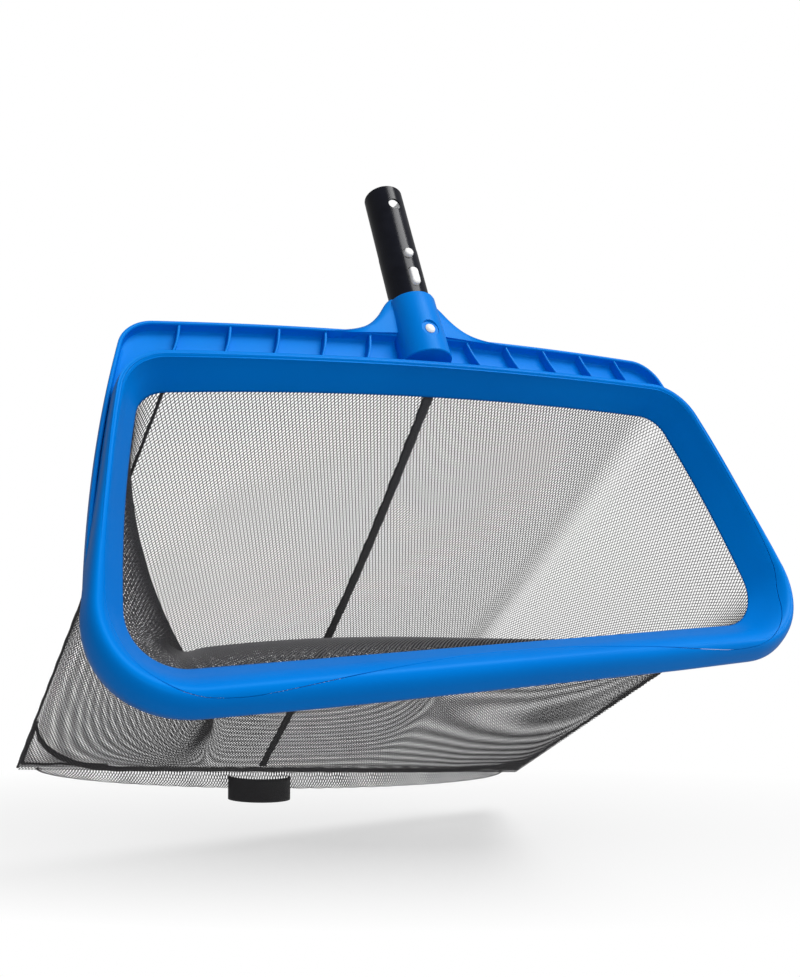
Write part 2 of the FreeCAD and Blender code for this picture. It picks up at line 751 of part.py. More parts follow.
FACING = {"upper": 1, "lower": -1}
MOUTH_POINTS = {side: mouth_points(side) for side in FACING}
INWARD = {side: inward_normals(side) for side in FACING}


def column_across(column):
    return (column - LINES) / LINES


def corner_share(across):
    cut = size("bag_corner_cut") / size("bag_end_half_width")
    into = max(abs(across) - (1 - cut), 0) / cut
    return size("bag_corner_cut") / size("bag_length") * (1 - math.sqrt(max(1 - into**2, 0)))


def end_point(across, inset=0.0):
    return end_middle + end_direction * (across * (size("bag_end_half_width") - inset))


def bag_point(side, column, share):
    across = column_across(column)
    start = MOUTH_POINTS[side][column] - V(0, 0, gap)
    line = end_point(across, seam_inset) - start
    fade = 1 - across**2
    slack_share = min(share / (1 - corner_share(across)) / slack_end, 1)
    if side == "upper":
        sag = size("bag_upper_slack") * math.sin(math.pi * slack_share)
    else:
        sag = size("bag_lower_bulge") * math.sin(math.pi * slack_share ** size("bag_bulge_skew"))
    apart = V(0, FACING[side] * half_seam * math.sqrt(share), 0)
    return start + line * share + INWARD[side][column] * (sag * fade) + apart


def bag_rows(side, share):
    rows = []
    for column in COLUMNS:
        rows.append(bag_point(side, column, share * (1 - corner_share(column_across(column)))))
    left_face = []
    right_face = []
    for column, point in enumerate(rows):
        before = rows[max(column - 1, 0)]
        after = rows[min(column + 1, len(rows) - 1)]
        normal = V(before.y - after.y, after.x - before.x, 0).normalize() * half_panel
        left_face.append(point + normal)
        right_face.append(point - normal)
    return left_face, right_face


def triangles(first, second):
    faces = []
    for index in range(len(first) - 1):
        corners = (first[index], first[index + 1], second[index + 1], second[index])
        for trio in ((0, 1, 2), (0, 2, 3)):
            points = [corners[i] for i in trio]
            faces.append(Part.Face(Part.makePolygon(points + [points[0]])))
    return faces


def bag_panel(side):
    pairs = [bag_rows(side, share) for share in station_shares + [1]]
    loops = [left + right[::-1] + left[:1] for left, right in pairs]
    faces = []
    for before, after in zip(loops, loops[1:]):
        faces += triangles(before, after)
    for left, right in (pairs[0], pairs[-1]):
        faces += triangles(left, right)
    shell = Part.makeShell(faces)
    shell.sewShape()
    return Part.makeSolid(Part.Shell(shell.Faces))


def soft_solid(name, shape):
    feature = doc.addObject("Part::Feature", name)
    feature.Label = name
    feature.Shape = shape
    feature.Placement = MOUTH
    return feature


def soft_feature(name, sections):
    return soft_solid(name, Part.makeLoft(sections, True, True))


def rectangle(middle, one, other):
    corners = [middle + one + other, middle - one + other, middle - one - other, middle + one - other]
    return Part.makePolygon(corners + [corners[0]])


for side in ("upper", "lower"):
    soft_solid(f"bag_{side}_panel", bag_panel(side))

# The side seams, each a rolled double fold from its corner of the mouth to the end seam.
rolled = size("side_seam_half")
for side, word in ((-1, "left"), (1, "right")):
    start = SIDE_START[side] - V(0, 0, gap)
    run = end_point(side) - start
    tied = start + run * (1 - corner_share(side))
    across = V(rolled, 0, 0)
    upward = V(0, rolled, 0)
    soft_feature(f"side_seam_{word}", [rectangle(start, across, upward), rectangle(tied, across, upward)])


# The curved end seam, the flaps that it leaves at the corners and the hem below it.
def seam_line(across):
    start = SIDE_START[-1] + (SIDE_START[1] - SIDE_START[-1]) * ((1 + across) / 2)
    return start, end_point(across) - start


def end_strip(name, shares, low, high, half):
    sections = []
    for across in shares:
        start, line = seam_line(across)
        away = V(line).normalize()
        inner = start + line * (1 - corner_share(across)) + away * low
        outer = inner + away * size("seam_width") if high is None else start + line + away * high
        middle = (inner + outer) * 0.5
        sections.append(rectangle(middle, (outer - inner) * 0.5, V(0, half, 0)))
    return soft_feature(name, sections)


inside_edge = 0.985
seam_step = 9
seam_turns = range(-90, 91, seam_step)
seam_shares = [inside_edge * math.sin(math.radians(turn)) for turn in seam_turns]
end_strip("end_seam", seam_shares, -size("seam_width") / 2, None, half_seam - half_panel - gap)
cut_from = 1 - size("bag_corner_cut") / size("bag_end_half_width")
flap_low = size("seam_width") / 2 + size("flap_gap")
flap_steps = (0.5, 0.67, 0.83, 0.92, 0.98)
for side, word in ((-1, "left"), (1, "right")):
    shares = [side * (cut_from + (1 - cut_from) * step) for step in flap_steps]
    end_strip(f"corner_flap_{word}", shares, flap_low, 0.0, size("flap_thickness") / 2)

# The centre strap, webbing sewn inside the upper panel from the middle of the handle side to the middle
# of the end seam, so it crosses the turned panel at a slant.
strap_start = rim_edges[0].Length / 2 / column_step


def on_upper_panel(place, share):
    column = int(place)
    first = bag_point("upper", column, share)
    return first + (bag_point("upper", column + 1, share) - first) * (place - column)


strap_sections = []
strap_lift = half_panel + gap + size("strap_thickness") / 2
strap_end = 1 - size("seam_width") / size("bag_length")
strap_end_place = LINES * (1 - size("strap_end_aside") / size("bag_end_half_width"))
for share in station_shares + [strap_end]:
    place = between(strap_start, strap_end_place, share / strap_end)
    across = (on_upper_panel(place + 1, share) - on_upper_panel(place - 1, share)).normalize()
    inward = V(across.y, -across.x, 0)
    middle = on_upper_panel(place, share) + inward * strap_lift
    strap_sections.append(
        rectangle(middle, across * (size("strap_width") / 2), inward * (size("strap_thickness") / 2))
    )
soft_feature("centre_strap", strap_sections)

# The end hem, the folded edge of the netting, which hangs down from behind the end seam.
hem_top = end_middle - V(0, 0, size("seam_width") / 2 + gap + size("end_hem_thickness") / 2)
hem_middle = hem_top + DOWN * (size("end_hem_height") / 2)
hem_half = end_direction * (size("bag_end_half_width") - size("bag_corner_cut") - gap)
hem_broad = BACK * (size("end_hem_thickness") / 2)
hem_tall = DOWN * (size("end_hem_height") / 2)
soft_feature("end_hem", [rectangle(hem_middle + hem_half * turn, hem_broad, hem_tall) for turn in (-1, 1)])

# The pull strap, a bow of wide webbing that stands out in front of the middle of the end hem.
pull_sections = []
pull_half = size("pull_length") / 2
thin = size("pull_thickness") / 2
pull_root = hem_top - BACK * (size("end_hem_thickness") / 2 + gap)
pull_root = pull_root - end_direction * size("strap_end_aside")
pull_middle = pull_root + DOWN * (size("pull_clearance") + size("pull_width") / 2)
pull_tall = DOWN * (size("pull_width") / 2)
for turn in range(0, 181, 15):
    angle = math.radians(turn)
    along = -math.cos(angle)
    out = math.sin(angle)
    centre = pull_middle + end_direction * (along * (pull_half - thin))
    centre = centre - BACK * (out * (size("pull_bow") - thin))
    outward = (end_direction * (along / pull_half) - BACK * (out / size("pull_bow"))).normalize() * thin
    pull_sections.append(rectangle(centre, outward, pull_tall))
soft_feature("pull_strap", pull_sections)

doc.recompute()

# Checks, then one file for each piece.
PIECES = [
    "frame_moulding",
    "clamp_ring",
    "mouth_hem",
    "hem_cord",
    "tube",
    "clip_bridge",
    "clip_leg_front",
    "clip_leg_rear",
    "socket_rivet",
    "rivet_washer",
    "bag_upper_panel",
    "bag_lower_panel",
    "side_seam_left",
    "side_seam_right",
    "end_seam",
    "corner_flap_left",
    "corner_flap_right",
    "centre_strap",
    "end_hem",
    "pull_strap",
]
for thing in doc.Objects:
    if "Invalid" in thing.State or "Error" in thing.State:
        raise RuntimeError(f"{thing.Name} did not compute: {thing.State}")
for name in PIECES:
    piece = doc.getObjectsByLabel(name)[0]
    shape = piece.Shape
    if shape.isNull() or not shape.isValid():
        raise RuntimeError(f"{name} has no valid shape")
    print(name, "solids", len(shape.Solids), "volume", round(shape.Volume), "mm3")
    shape.exportStep(f"parts/{name}.step")
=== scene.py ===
import math
import bmesh
import bpy
import numpy as np
from mathutils import Matrix, Vector


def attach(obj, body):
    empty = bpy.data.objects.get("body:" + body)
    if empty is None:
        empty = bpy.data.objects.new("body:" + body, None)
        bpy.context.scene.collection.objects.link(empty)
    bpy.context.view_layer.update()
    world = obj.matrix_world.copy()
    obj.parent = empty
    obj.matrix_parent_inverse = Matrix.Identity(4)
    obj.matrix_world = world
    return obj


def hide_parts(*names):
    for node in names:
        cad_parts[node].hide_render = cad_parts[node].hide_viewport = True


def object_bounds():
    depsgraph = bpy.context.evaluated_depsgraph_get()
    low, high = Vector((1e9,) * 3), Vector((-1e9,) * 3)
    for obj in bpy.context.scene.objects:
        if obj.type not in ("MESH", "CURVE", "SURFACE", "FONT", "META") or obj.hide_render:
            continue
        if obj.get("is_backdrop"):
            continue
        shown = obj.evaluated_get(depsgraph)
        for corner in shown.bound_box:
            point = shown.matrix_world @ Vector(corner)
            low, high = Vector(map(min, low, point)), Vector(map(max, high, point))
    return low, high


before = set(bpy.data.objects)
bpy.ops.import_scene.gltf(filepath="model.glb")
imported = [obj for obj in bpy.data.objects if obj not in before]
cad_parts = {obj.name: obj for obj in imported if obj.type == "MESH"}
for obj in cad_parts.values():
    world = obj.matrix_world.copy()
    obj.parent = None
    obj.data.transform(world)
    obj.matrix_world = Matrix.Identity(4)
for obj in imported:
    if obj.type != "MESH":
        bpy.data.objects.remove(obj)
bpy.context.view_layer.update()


# The camera and the studio
# The net hangs just above a white floor, seen level and from its left, under a broad soft lamp
# overhead and a weaker one in front.
CAMERA_PLACE = (-0.3085, -0.6330, -0.1955)
CAMERA_RIGHT = Vector((0.8938, -0.4484, 0.0049))
CAMERA_UP = Vector((-0.0052, 0.0005, 1.0))
CAMERA_LENS = 34.8
LAMP_ASPECT = 0.7
WORLD_GREY = 0.29
FLOOR_HEIGHT = -0.545
FLOOR_GREY = 0.40
# Inside an oval round the shadow the floor glows less than plain white, a painted shadow on top of the real
# one that its matt part takes.
FLOOR_GLOW = 0.52
SHADOW_MIDDLE = (0.129, 0.238)
SHADOW_OVAL = (0.6, 2.2, 1)
SHADOW_FADE_START = 0.10
SHADOW_FADE_END = 0.50
camera_data = bpy.data.cameras.new("camera")
camera_data.lens = CAMERA_LENS
camera = bpy.data.objects.new("camera", camera_data)
bpy.context.scene.collection.objects.link(camera)
camera_back = CAMERA_RIGHT.cross(CAMERA_UP).normalized()
camera_up = camera_back.cross(CAMERA_RIGHT).normalized()
camera.matrix_world = Matrix.Translation(CAMERA_PLACE) @ Matrix(
    (CAMERA_RIGHT.normalized(), camera_up, camera_back)
).transposed().to_4x4()
bpy.context.scene.camera = camera
bpy.context.scene.view_settings.view_transform = "Standard"


def soft_lamp(name, place, aim, width, power):
    lamp_data = bpy.data.lights.new(name, "AREA")
    lamp_data.shape = "RECTANGLE"
    lamp_data.size = width
    lamp_data.size_y = width * LAMP_ASPECT
    lamp_data.energy = power
    lamp = bpy.data.objects.new(name, lamp_data)
    lamp.location = place
    lamp.rotation_euler = (Vector(aim) - Vector(place)).to_track_quat("-Z", "Y").to_euler()
    bpy.context.scene.collection.objects.link(lamp)


soft_lamp("overhead_lamp", (0.75, -0.95, 1.75), (0, 0, -0.25), 1.5, 48.0)
soft_lamp("front_lamp", (-0.6, -2.1, -0.05), (0, 0, -0.25), 1.0, 12.5)
soft_lamp("right_lamp", (1.3, -0.7, 0.35), (0, 0, -0.1), 0.4, 3.0)


def white_to_camera(nodes, links, surface, grey):
    """The surface looks plain white to the camera and through clear pieces, and grey to the rest."""
    path = nodes.new("ShaderNodeLightPath")
    seen = nodes.new("ShaderNodeMath")
    seen.operation = "MAXIMUM"
    links.new(path.outputs["Is Camera Ray"], seen.inputs[0])
    links.new(path.outputs["Is Transmission Ray"], seen.inputs[1])
    mix = nodes.new("ShaderNodeMix")
    mix.data_type = "RGBA"
    mix.inputs["A"].default_value = (grey, grey, grey, 1)
    mix.inputs["B"].default_value = (1, 1, 1, 1)
    links.new(seen.outputs[0], mix.inputs["Factor"])
    links.new(mix.outputs["Result"], surface)


world = bpy.data.worlds.new("studio")
bpy.context.scene.world = world
world.use_nodes = True
sky = world.node_tree.nodes["Background"]
white_to_camera(world.node_tree.nodes, world.node_tree.links, sky.inputs["Color"], WORLD_GREY)

floor_mesh = bpy.data.meshes.new("floor")
floor_shape = bmesh.new()
bmesh.ops.create_grid(floor_shape, x_segments=1, y_segments=1, size=6.0)
floor_shape.to_mesh(floor_mesh)
floor_shape.free()
floor = bpy.data.objects.new("floor", floor_mesh)
floor.location = (*SHADOW_MIDDLE, FLOOR_HEIGHT)
floor.rotation_euler = (0, 0, math.atan2(CAMERA_RIGHT.y, CAMERA_RIGHT.x))
bpy.context.scene.collection.objects.link(floor)
floor_paint = bpy.data.materials.new("floor_paint")
floor_paint.use_nodes = True
floor_nodes = floor_paint.node_tree.nodes
floor_links = floor_paint.node_tree.links
floor_nodes.remove(floor_nodes["Principled BSDF"])
floor_matt = floor_nodes.new("ShaderNodeBsdfDiffuse")
floor_matt.inputs["Color"].default_value = (FLOOR_GREY, FLOOR_GREY, FLOOR_GREY, 1)
floor_glow = floor_nodes.new("ShaderNodeEmission")
floor_glow.inputs["Strength"].default_value = FLOOR_GLOW
floor_sum = floor_nodes.new("ShaderNodeAddShader")
floor_mix = floor_nodes.new("ShaderNodeMixShader")
floor_path = floor_nodes.new("ShaderNodeLightPath")
floor_links.new(floor_glow.outputs[0], floor_sum.inputs[0])
floor_links.new(floor_matt.outputs[0], floor_sum.inputs[1])
floor_links.new(floor_path.outputs["Is Camera Ray"], floor_mix.inputs["Fac"])
floor_links.new(floor_matt.outputs[0], floor_mix.inputs[1])
# Inside an oval round the shadow the floor is painted a soft grey: there it glows less than plain white, so
# it is grey even where no shadow falls, and its matt part also takes the object's real shadow. Outside the
# oval it fades to plain white, so that no horizon shows.
floor_far = floor_nodes.new("ShaderNodeEmission")
floor_place = floor_nodes.new("ShaderNodeTexCoord")
floor_oval = floor_nodes.new("ShaderNodeVectorMath")
floor_oval.operation = "MULTIPLY"
floor_oval.inputs[1].default_value = SHADOW_OVAL
floor_away = floor_nodes.new("ShaderNodeVectorMath")
floor_away.operation = "LENGTH"
floor_fade = floor_nodes.new("ShaderNodeMapRange")
floor_fade.inputs["From Min"].default_value = SHADOW_FADE_START
floor_fade.inputs["From Max"].default_value = SHADOW_FADE_END
floor_seen = floor_nodes.new("ShaderNodeMixShader")
floor_links.new(floor_place.outputs["Object"], floor_oval.inputs[0])
floor_links.new(floor_oval.outputs["Vector"], floor_away.inputs[0])
floor_links.new(floor_away.outputs["Value"], floor_fade.inputs["Value"])
floor_links.new(floor_fade.outputs["Result"], floor_seen.inputs["Fac"])
floor_links.new(floor_sum.outputs[0], floor_seen.inputs[1])
floor_links.new(floor_far.outputs[0], floor_seen.inputs[2])
floor_links.new(floor_seen.outputs[0], floor_mix.inputs[2])
floor_links.new(floor_mix.outputs[0], floor_nodes["Material Output"].inputs["Surface"])
floor.data.materials.append(floor_paint)
floor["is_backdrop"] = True


# The mouth of the net
# Everything blue is shaped in the plane of the mouth, in millimetres: x across, y towards the handle
# and z out of the front, from the middle of the ring's rear edge on the leading side.
MM = 0.001
MOUTH_LENGTH = 171.6
HANDLE_HALF = 196.3
LEAD_HALF = 218.9
HANDLE_BOW = 8.6
SIDE_BOW = 4.9
MOUTH_TILT = math.radians(60)
TUBE_LEAN = math.radians(2.3)
TUBE_AXIS = Vector((0, math.cos(TUBE_LEAN), math.sin(TUBE_LEAN)))
TUBE_AXIS_HEIGHT = 5.8
TUBE_LENGTH = 181.7
TUBE_TIP = Vector((0, MOUTH_LENGTH, TUBE_AXIS_HEIGHT)) + TUBE_AXIS * TUBE_LENGTH
INSERT_LENGTH = 56.0
mount_point = TUBE_TIP - TUBE_AXIS * (INSERT_LENGTH / 2)
MOUTH = Matrix.Scale(MM, 4) @ Matrix.Rotation(MOUTH_TILT, 4, "X") @ Matrix.Translation(-mount_point)
HANDLE = MOUTH @ Matrix.Translation(TUBE_TIP) @ Matrix.Rotation(TUBE_LEAN - math.pi / 2, 4, "X")

# How many points half an outline has: handle side, upper corner, side, lead corner and leading side.
HALF_COUNTS = (44, 22, 34, 34, 44)


def arc_points(centre, start, end, count):
    first = math.atan2(start[1] - centre[1], start[0] - centre[0])
    last = math.atan2(end[1] - centre[1], end[0] - centre[0])
    turns = np.linspace(first, last, count, endpoint=False)
    radius = math.dist(centre, start)
    return np.column_stack((centre[0] + radius * np.cos(turns), centre[1] + radius * np.sin(turns)))


def toward(centre, through, radius):
    away = np.subtract(through, centre)
    return centre + away / np.linalg.norm(away) * radius


def outline(half_handle, handle_y, half_lead, lead_y, handle_radius, lead_radius,
            side_bow=SIDE_BOW, grow=0.0):
    """A closed trapezium of points with a bowed handle side, bowed sides and round corners."""
    top_radius = (half_handle**2 + HANDLE_BOW**2) / (2 * HANDLE_BOW)
    top_centre = np.array((0, handle_y + HANDLE_BOW - top_radius))
    upper = np.array((half_handle, handle_y))
    lower = np.array((half_lead, lead_y))
    chord = upper - lower
    length = np.linalg.norm(chord)
    side_radius = (length**2 / 4 + side_bow**2) / (2 * side_bow)
    inward = np.array((-chord[1], chord[0])) / length
    side_centre = (upper + lower) / 2 + inward * (side_radius - side_bow)
    first, second = top_radius - handle_radius, side_radius - handle_radius
    apart = side_centre - top_centre
    gap = np.linalg.norm(apart)
    along = (first**2 - second**2 + gap**2) / (2 * gap)
    across = math.sqrt(first**2 - along**2)
    direction = apart / gap
    normal = np.array((-direction[1], direction[0]))
    foot = top_centre + direction * along
    upper_centre = max((foot + normal * across, foot - normal * across), key=sum)
    lower_y = lead_y + lead_radius
    reach = side_radius - lead_radius
    lower_centre = np.array(
        (side_centre[0] + math.sqrt(reach**2 - (lower_y - side_centre[1]) ** 2), lower_y)
    )
    top = toward(top_centre, upper_centre, top_radius + grow)
    shoulder = toward(side_centre, upper_centre, side_radius + grow)
    hip = toward(side_centre, lower_centre, side_radius + grow)
    toe = np.array((lower_centre[0], lead_y - grow))
    summit = np.array((0, top_centre[1] + top_radius + grow))
    right = np.vstack((
        arc_points(top_centre, summit, top, HALF_COUNTS[0]),
        arc_points(upper_centre, top, shoulder, HALF_COUNTS[1]),
        arc_points(side_centre, shoulder, hip, HALF_COUNTS[2]),
        arc_points(lower_centre, hip, toe, HALF_COUNTS[3]),
        np.linspace(toe, (0, toe[1]), HALF_COUNTS[4] + 1),
    ))
    left = right[1:-1][::-1] * (-1, 1)
    return np.vstack((right, left))


mouth_edge = outline(HANDLE_HALF, MOUTH_LENGTH, LEAD_HALF, 0.0, 20.5, 32.0)
COLUMNS = len(mouth_edge)
tangent = np.roll(mouth_edge, -1, axis=0) - np.roll(mouth_edge, 1, axis=0)
tangent /= np.linalg.norm(tangent, axis=1)[:, None]
mouth_outward = np.column_stack((-tangent[:, 1], tangent[:, 0]))
half_index = np.minimum(np.arange(COLUMNS), COLUMNS - np.arange(COLUMNS))

# The five places round half the mouth whose section is given: the handle side, the upper corner, the
# side, the lead corner and the leading side. Each point is how far out and how high it stands.
STATION_INDEX = (20, 55, 83, 117, 150)
SECTIONS = np.array((
    ((0, 0), (3.3, 8), (6.4, 15), (8.3, 20.0), (9.3, 22.9), (10.6, 23.6), (12.0, 23.0), (12.8, 21.4),
     (13.0, 14), (13.1, 2)),
    ((0, 0), (3.7, 8), (7.2, 15), (9.4, 20.0), (10.9, 22.9), (12.6, 23.7), (14.2, 22.6), (15.0, 20.0),
     (15.3, 12), (15.3, 0)),
    ((0, 0), (3.9, 8), (7.3, 15), (9.6, 20.0), (11.2, 22.9), (13.2, 23.6), (15.0, 21.6), (16.0, 17.0),
     (16.4, 9), (16.0, 0)),
    ((0, 0), (5.8, 8), (10.6, 15), (14.2, 19.6), (17.4, 22.2), (20.8, 22.4), (24.0, 19.4), (26.2, 14.6),
     (27.6, 8), (26.4, 0)),
    ((0, 0), (5.4, 8), (10.0, 14.6), (14.4, 18.8), (18.2, 20.6), (22.0, 19.8), (25.4, 17.0), (28.2, 13.0),
     (30.2, 8), (27.2, 0)),
))
# How far along the section the ring's edge meets the frame, from 0 at the net to 1 at the back.
JOINT_INDEX = (20, 55, 94, 109, 124, 138, 155, 170, 178)
JOINT_SHARES = (0.52, 0.52, 0.41, 0.24, 0.42, 0.66, 0.40, 0.22, 0.21)


def round_the_mouth(values, smooth=5, stations=STATION_INDEX):
    values = np.asarray(values, dtype=float)
    shape = values.shape[1:]
    flat = values.reshape(len(values), -1)
    spread = np.column_stack([np.interp(half_index, stations, column) for column in flat.T])
    for _ in range(smooth * 6):
        spread = (np.roll(spread, 1, axis=0) + spread * 2 + np.roll(spread, -1, axis=0)) / 4
    return spread.reshape((COLUMNS,) + shape)


sections = round_the_mouth(SECTIONS)
joint_share = round_the_mouth(JOINT_SHARES, smooth=3, stations=JOINT_INDEX)


def on_section(share, depth=0.0):
    """A loop of points round the mouth, at a share of the way along every section."""
    last = sections.shape[1] - 1
    place = np.clip(np.broadcast_to(share, COLUMNS), 0, 1) * last
    step = np.minimum(place.astype(int), last - 1)
    t = (place - step)[:, None]
    rows = np.arange(COLUMNS)
    before = sections[rows, np.maximum(step - 1, 0)]
    start = sections[rows, step]
    end = sections[rows, step + 1]
    after = sections[rows, np.minimum(step + 2, last)]
    point = 0.5 * (
        2 * start + (end - before) * t + (2 * before - 5 * start + 4 * end - after) * t**2
        + (3 * start - before - 3 * end + after) * t**3
    )
    slope = 0.5 * (
        (end - before) + 2 * (2 * before - 5 * start + 4 * end - after) * t
        + 3 * (3 * start - before - 3 * end + after) * t**2
    )
    slope /= np.linalg.norm(slope, axis=1)[:, None]
    inward = np.column_stack((slope[:, 1], -slope[:, 0]))
    point = point + inward * depth
    flat = mouth_edge + mouth_outward * point[:, :1]
    return np.column_stack((flat, point[:, 1]))


MERGE = 0.0005
SHARP_ANGLE = math.radians(40)


def grid_piece(
    name, rows, closed_round=False, closed_along=False, caps=False, place=MOUTH, fronted=False
):
    """A sheet of quads through rows of points, merged where it closes on itself."""
    rows = np.asarray(rows, dtype=float)
    if closed_round:
        rows = np.concatenate((rows, rows[:, :1]), axis=1)
    if closed_along:
        rows = np.concatenate((rows, rows[:1]), axis=0)
    along, across = rows.shape[:2]
    shape = bmesh.new()
    bmesh.ops.create_grid(shape, x_segments=across - 1, y_segments=along - 1, size=1.0, calc_uvs=False)
    chart = shape.loops.layers.uv.new("chart")
    steps = np.linalg.norm(np.diff(rows, axis=0), axis=2).mean(axis=1)
    length = np.concatenate(((0,), np.cumsum(steps)))
    widths = np.linalg.norm(np.diff(rows, axis=1), axis=2).mean(axis=0)
    girth = np.concatenate(((0,), np.cumsum(widths)))
    for face in shape.faces:
        for corner in face.loops:
            i = round((corner.vert.co.x + 1) / 2 * (across - 1))
            j = round((corner.vert.co.y + 1) / 2 * (along - 1))
            corner[chart].uv = (girth[i], length[j])
    for vert in shape.verts:
        i = round((vert.co.x + 1) / 2 * (across - 1))
        j = round((vert.co.y + 1) / 2 * (along - 1))
        vert.co = rows[j, i]
    bmesh.ops.remove_doubles(shape, verts=shape.verts, dist=MERGE)
    if caps:
        rim = [edge for edge in shape.edges if edge.is_boundary]
        bmesh.ops.holes_fill(shape, edges=rim, sides=0)
    bmesh.ops.recalc_face_normals(shape, faces=shape.faces)
    if fronted and sum(face.normal.z * face.calc_area() for face in shape.faces) < 0:
        bmesh.ops.reverse_faces(shape, faces=shape.faces)
    return finish_mesh(name, shape, place)


def finish_mesh(name, shape, place):
    bmesh.ops.transform(shape, matrix=place, verts=shape.verts)
    mesh = bpy.data.meshes.new(name)
    shape.to_mesh(mesh)
    shape.free()
    piece = bpy.data.objects.new(name, mesh)
    bpy.context.scene.collection.objects.link(piece)
    mesh.shade_smooth()
    mesh.set_sharp_from_angle(angle=SHARP_ANGLE)
    return piece


def applied(piece):
    """The piece with its modifiers made part of its mesh."""
    bpy.context.view_layer.update()
    shown = piece.evaluated_get(bpy.context.evaluated_depsgraph_get())
    mesh = bpy.data.meshes.new_from_object(shown)
    piece.modifiers.clear()
    piece.data = mesh
    return piece


def thicken(piece, thickness, offset=-1.0):
    wall = piece.modifiers.new("wall", "SOLIDIFY")
    wall.thickness = thickness * MM
    wall.offset = offset
    wall.use_even_offset = False
    return applied(piece)


def joined(name, pieces):
    """Several finished meshes as one piece."""
    shape = bmesh.new()
    for piece in pieces:
        shape.from_mesh(piece.data)
        bpy.data.objects.remove(piece)
    mesh = bpy.data.meshes.new(name)
    shape.to_mesh(mesh)
    shape.free()
    whole = bpy.data.objects.new(name, mesh)
    bpy.context.scene.collection.objects.link(whole)
    return whole


def new_paint(name, colour, roughness):
    paint = bpy.data.materials.new(name)
    paint.use_nodes = True
    shader = paint.node_tree.nodes["Principled BSDF"]
    shader.inputs["Base Color"].default_value = (*colour, 1)
    shader.inputs["Roughness"].default_value = roughness
    return paint, paint.node_tree.nodes, paint.node_tree.links, shader


def mottled(nodes, links, shader, dark, light, scale):
    """Colour that wanders between two tones."""
    place = nodes.new("ShaderNodeTexCoord")
    noise = nodes.new("ShaderNodeTexNoise")
    noise.inputs["Scale"].default_value = scale
    noise.inputs["Detail"].default_value = 4.0
    ramp = nodes.new("ShaderNodeValToRGB")
    ramp.color_ramp.elements[0].position = 0.35
    ramp.color_ramp.elements[0].color = (*dark, 1)
    ramp.color_ramp.elements[1].position = 0.68
    ramp.color_ramp.elements[1].color = (*light, 1)
    links.new(place.outputs["Object"], noise.inputs["Vector"])
    links.new(noise.outputs["Fac"], ramp.inputs["Fac"])
    links.new(ramp.outputs["Color"], shader.inputs["Base Color"])
    return place


def fine_bump(nodes, links, shader, place, scale, strength, distance):
    grain = nodes.new("ShaderNodeTexNoise")
    grain.inputs["Scale"].default_value = scale
    grain.inputs["Detail"].default_value = 2.0
    bump = nodes.new("ShaderNodeBump")
    bump.inputs["Strength"].default_value = strength
    bump.inputs["Distance"].default_value = distance
    links.new(place.outputs["Object"], grain.inputs["Vector"])
    links.new(grain.outputs["Fac"], bump.inputs["Height"])
    links.new(bump.outputs["Normal"], shader.inputs["Normal"])
    return grain


# Blue polypropylene: satin, with a very fine moulded grain and a slightly uneven gloss.
blue, nodes, links, shader = new_paint("blue_polypropylene", (0.0, 0.182, 0.66), 0.34)
place = mottled(nodes, links, shader, (0.0, 0.172, 0.620), (0.0, 0.192, 0.670), 9.0)
grain = fine_bump(nodes, links, shader, place, 900.0, 0.05, 0.0002)
gloss = nodes.new("ShaderNodeMapRange")
gloss.inputs["To Min"].default_value = 0.30
gloss.inputs["To Max"].default_value = 0.42
links.new(grain.outputs["Fac"], gloss.inputs["Value"])
links.new(gloss.outputs["Result"], shader.inputs["Roughness"])
shader.inputs["Specular IOR Level"].default_value = 0.14
shader.inputs["Specular Tint"].default_value = (0.04, 0.50, 1.0, 1)


# The clamp ring
# A one-piece blue funnel that snaps into the frame and traps the net's hem. Its outer edge is the
# fine line that swings round the mouth.
RING_WALL = 2.0
EDGE_DROP = 0.5
EDGE_ROUND = 0.007
EDGE_BEND = EDGE_ROUND * 0.45
EDGE_FOOT = EDGE_ROUND * 0.25
ring_rows = [on_section(joint_share * share) for share in np.linspace(0, 1, 18)[:-1]]
ring_rows.append(on_section(joint_share - EDGE_ROUND))
ring_rows.append(on_section(joint_share - EDGE_BEND, EDGE_DROP / 2))
ring_rows.append(on_section(joint_share - EDGE_FOOT, EDGE_DROP))
clamp_ring = thicken(grid_piece("ring_funnel", ring_rows, closed_round=True, fronted=True), RING_WALL)
clamp_ring.name = "clamp_ring_shell"
clamp_ring.data.materials.append(blue)
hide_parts("clamp_ring")
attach(clamp_ring, "frame")


# The frame moulding
# One blue moulding: a rounded leading lip, a rim round the ring, a ribbed flange on the handle side
# and the socket for the tube, all open at the back as a moulding is.
FRAME_WALL = 2.4
lip_rows = [
    on_section(joint_share + EDGE_FOOT, EDGE_DROP),
    on_section(joint_share + EDGE_BEND, EDGE_DROP / 2),
    on_section(joint_share + EDGE_ROUND),
]
for share in np.linspace(0, 1, 22)[1:]:
    lip_rows.append(on_section(joint_share + EDGE_ROUND + (1 - joint_share - EDGE_ROUND) * share))
lip = thicken(grid_piece("lip", lip_rows, closed_round=True, fronted=True), FRAME_WALL)

# The wall behind the ring, which holds the hem against it.
SEAT_GAP = RING_WALL + 1.5
seat_rows = [on_section(share, SEAT_GAP + FRAME_WALL / 2) for share in np.linspace(0.03, 0.24, 8)]
seat_wall = thicken(grid_piece("seat_wall", seat_rows, closed_round=True), FRAME_WALL, offset=0.0)

# The flange: a flat web with a wall round its outer edge, carried on past the mouth's upper corners.
FLANGE_HALF = 203.0
FLANGE_HANDLE = 218.0
FLANGE_WEB = 2.5
FLANGE_TOP = 10.0
FLANGE_END_COLUMN = 104


def flange_edge(grow):
    return outline(FLANGE_HALF, FLANGE_HANDLE, 241.5, -27.0, 25.0, 50.0, side_bow=8.5, grow=grow)


def level(points, height):
    return np.column_stack((points, np.full(len(points), height)))


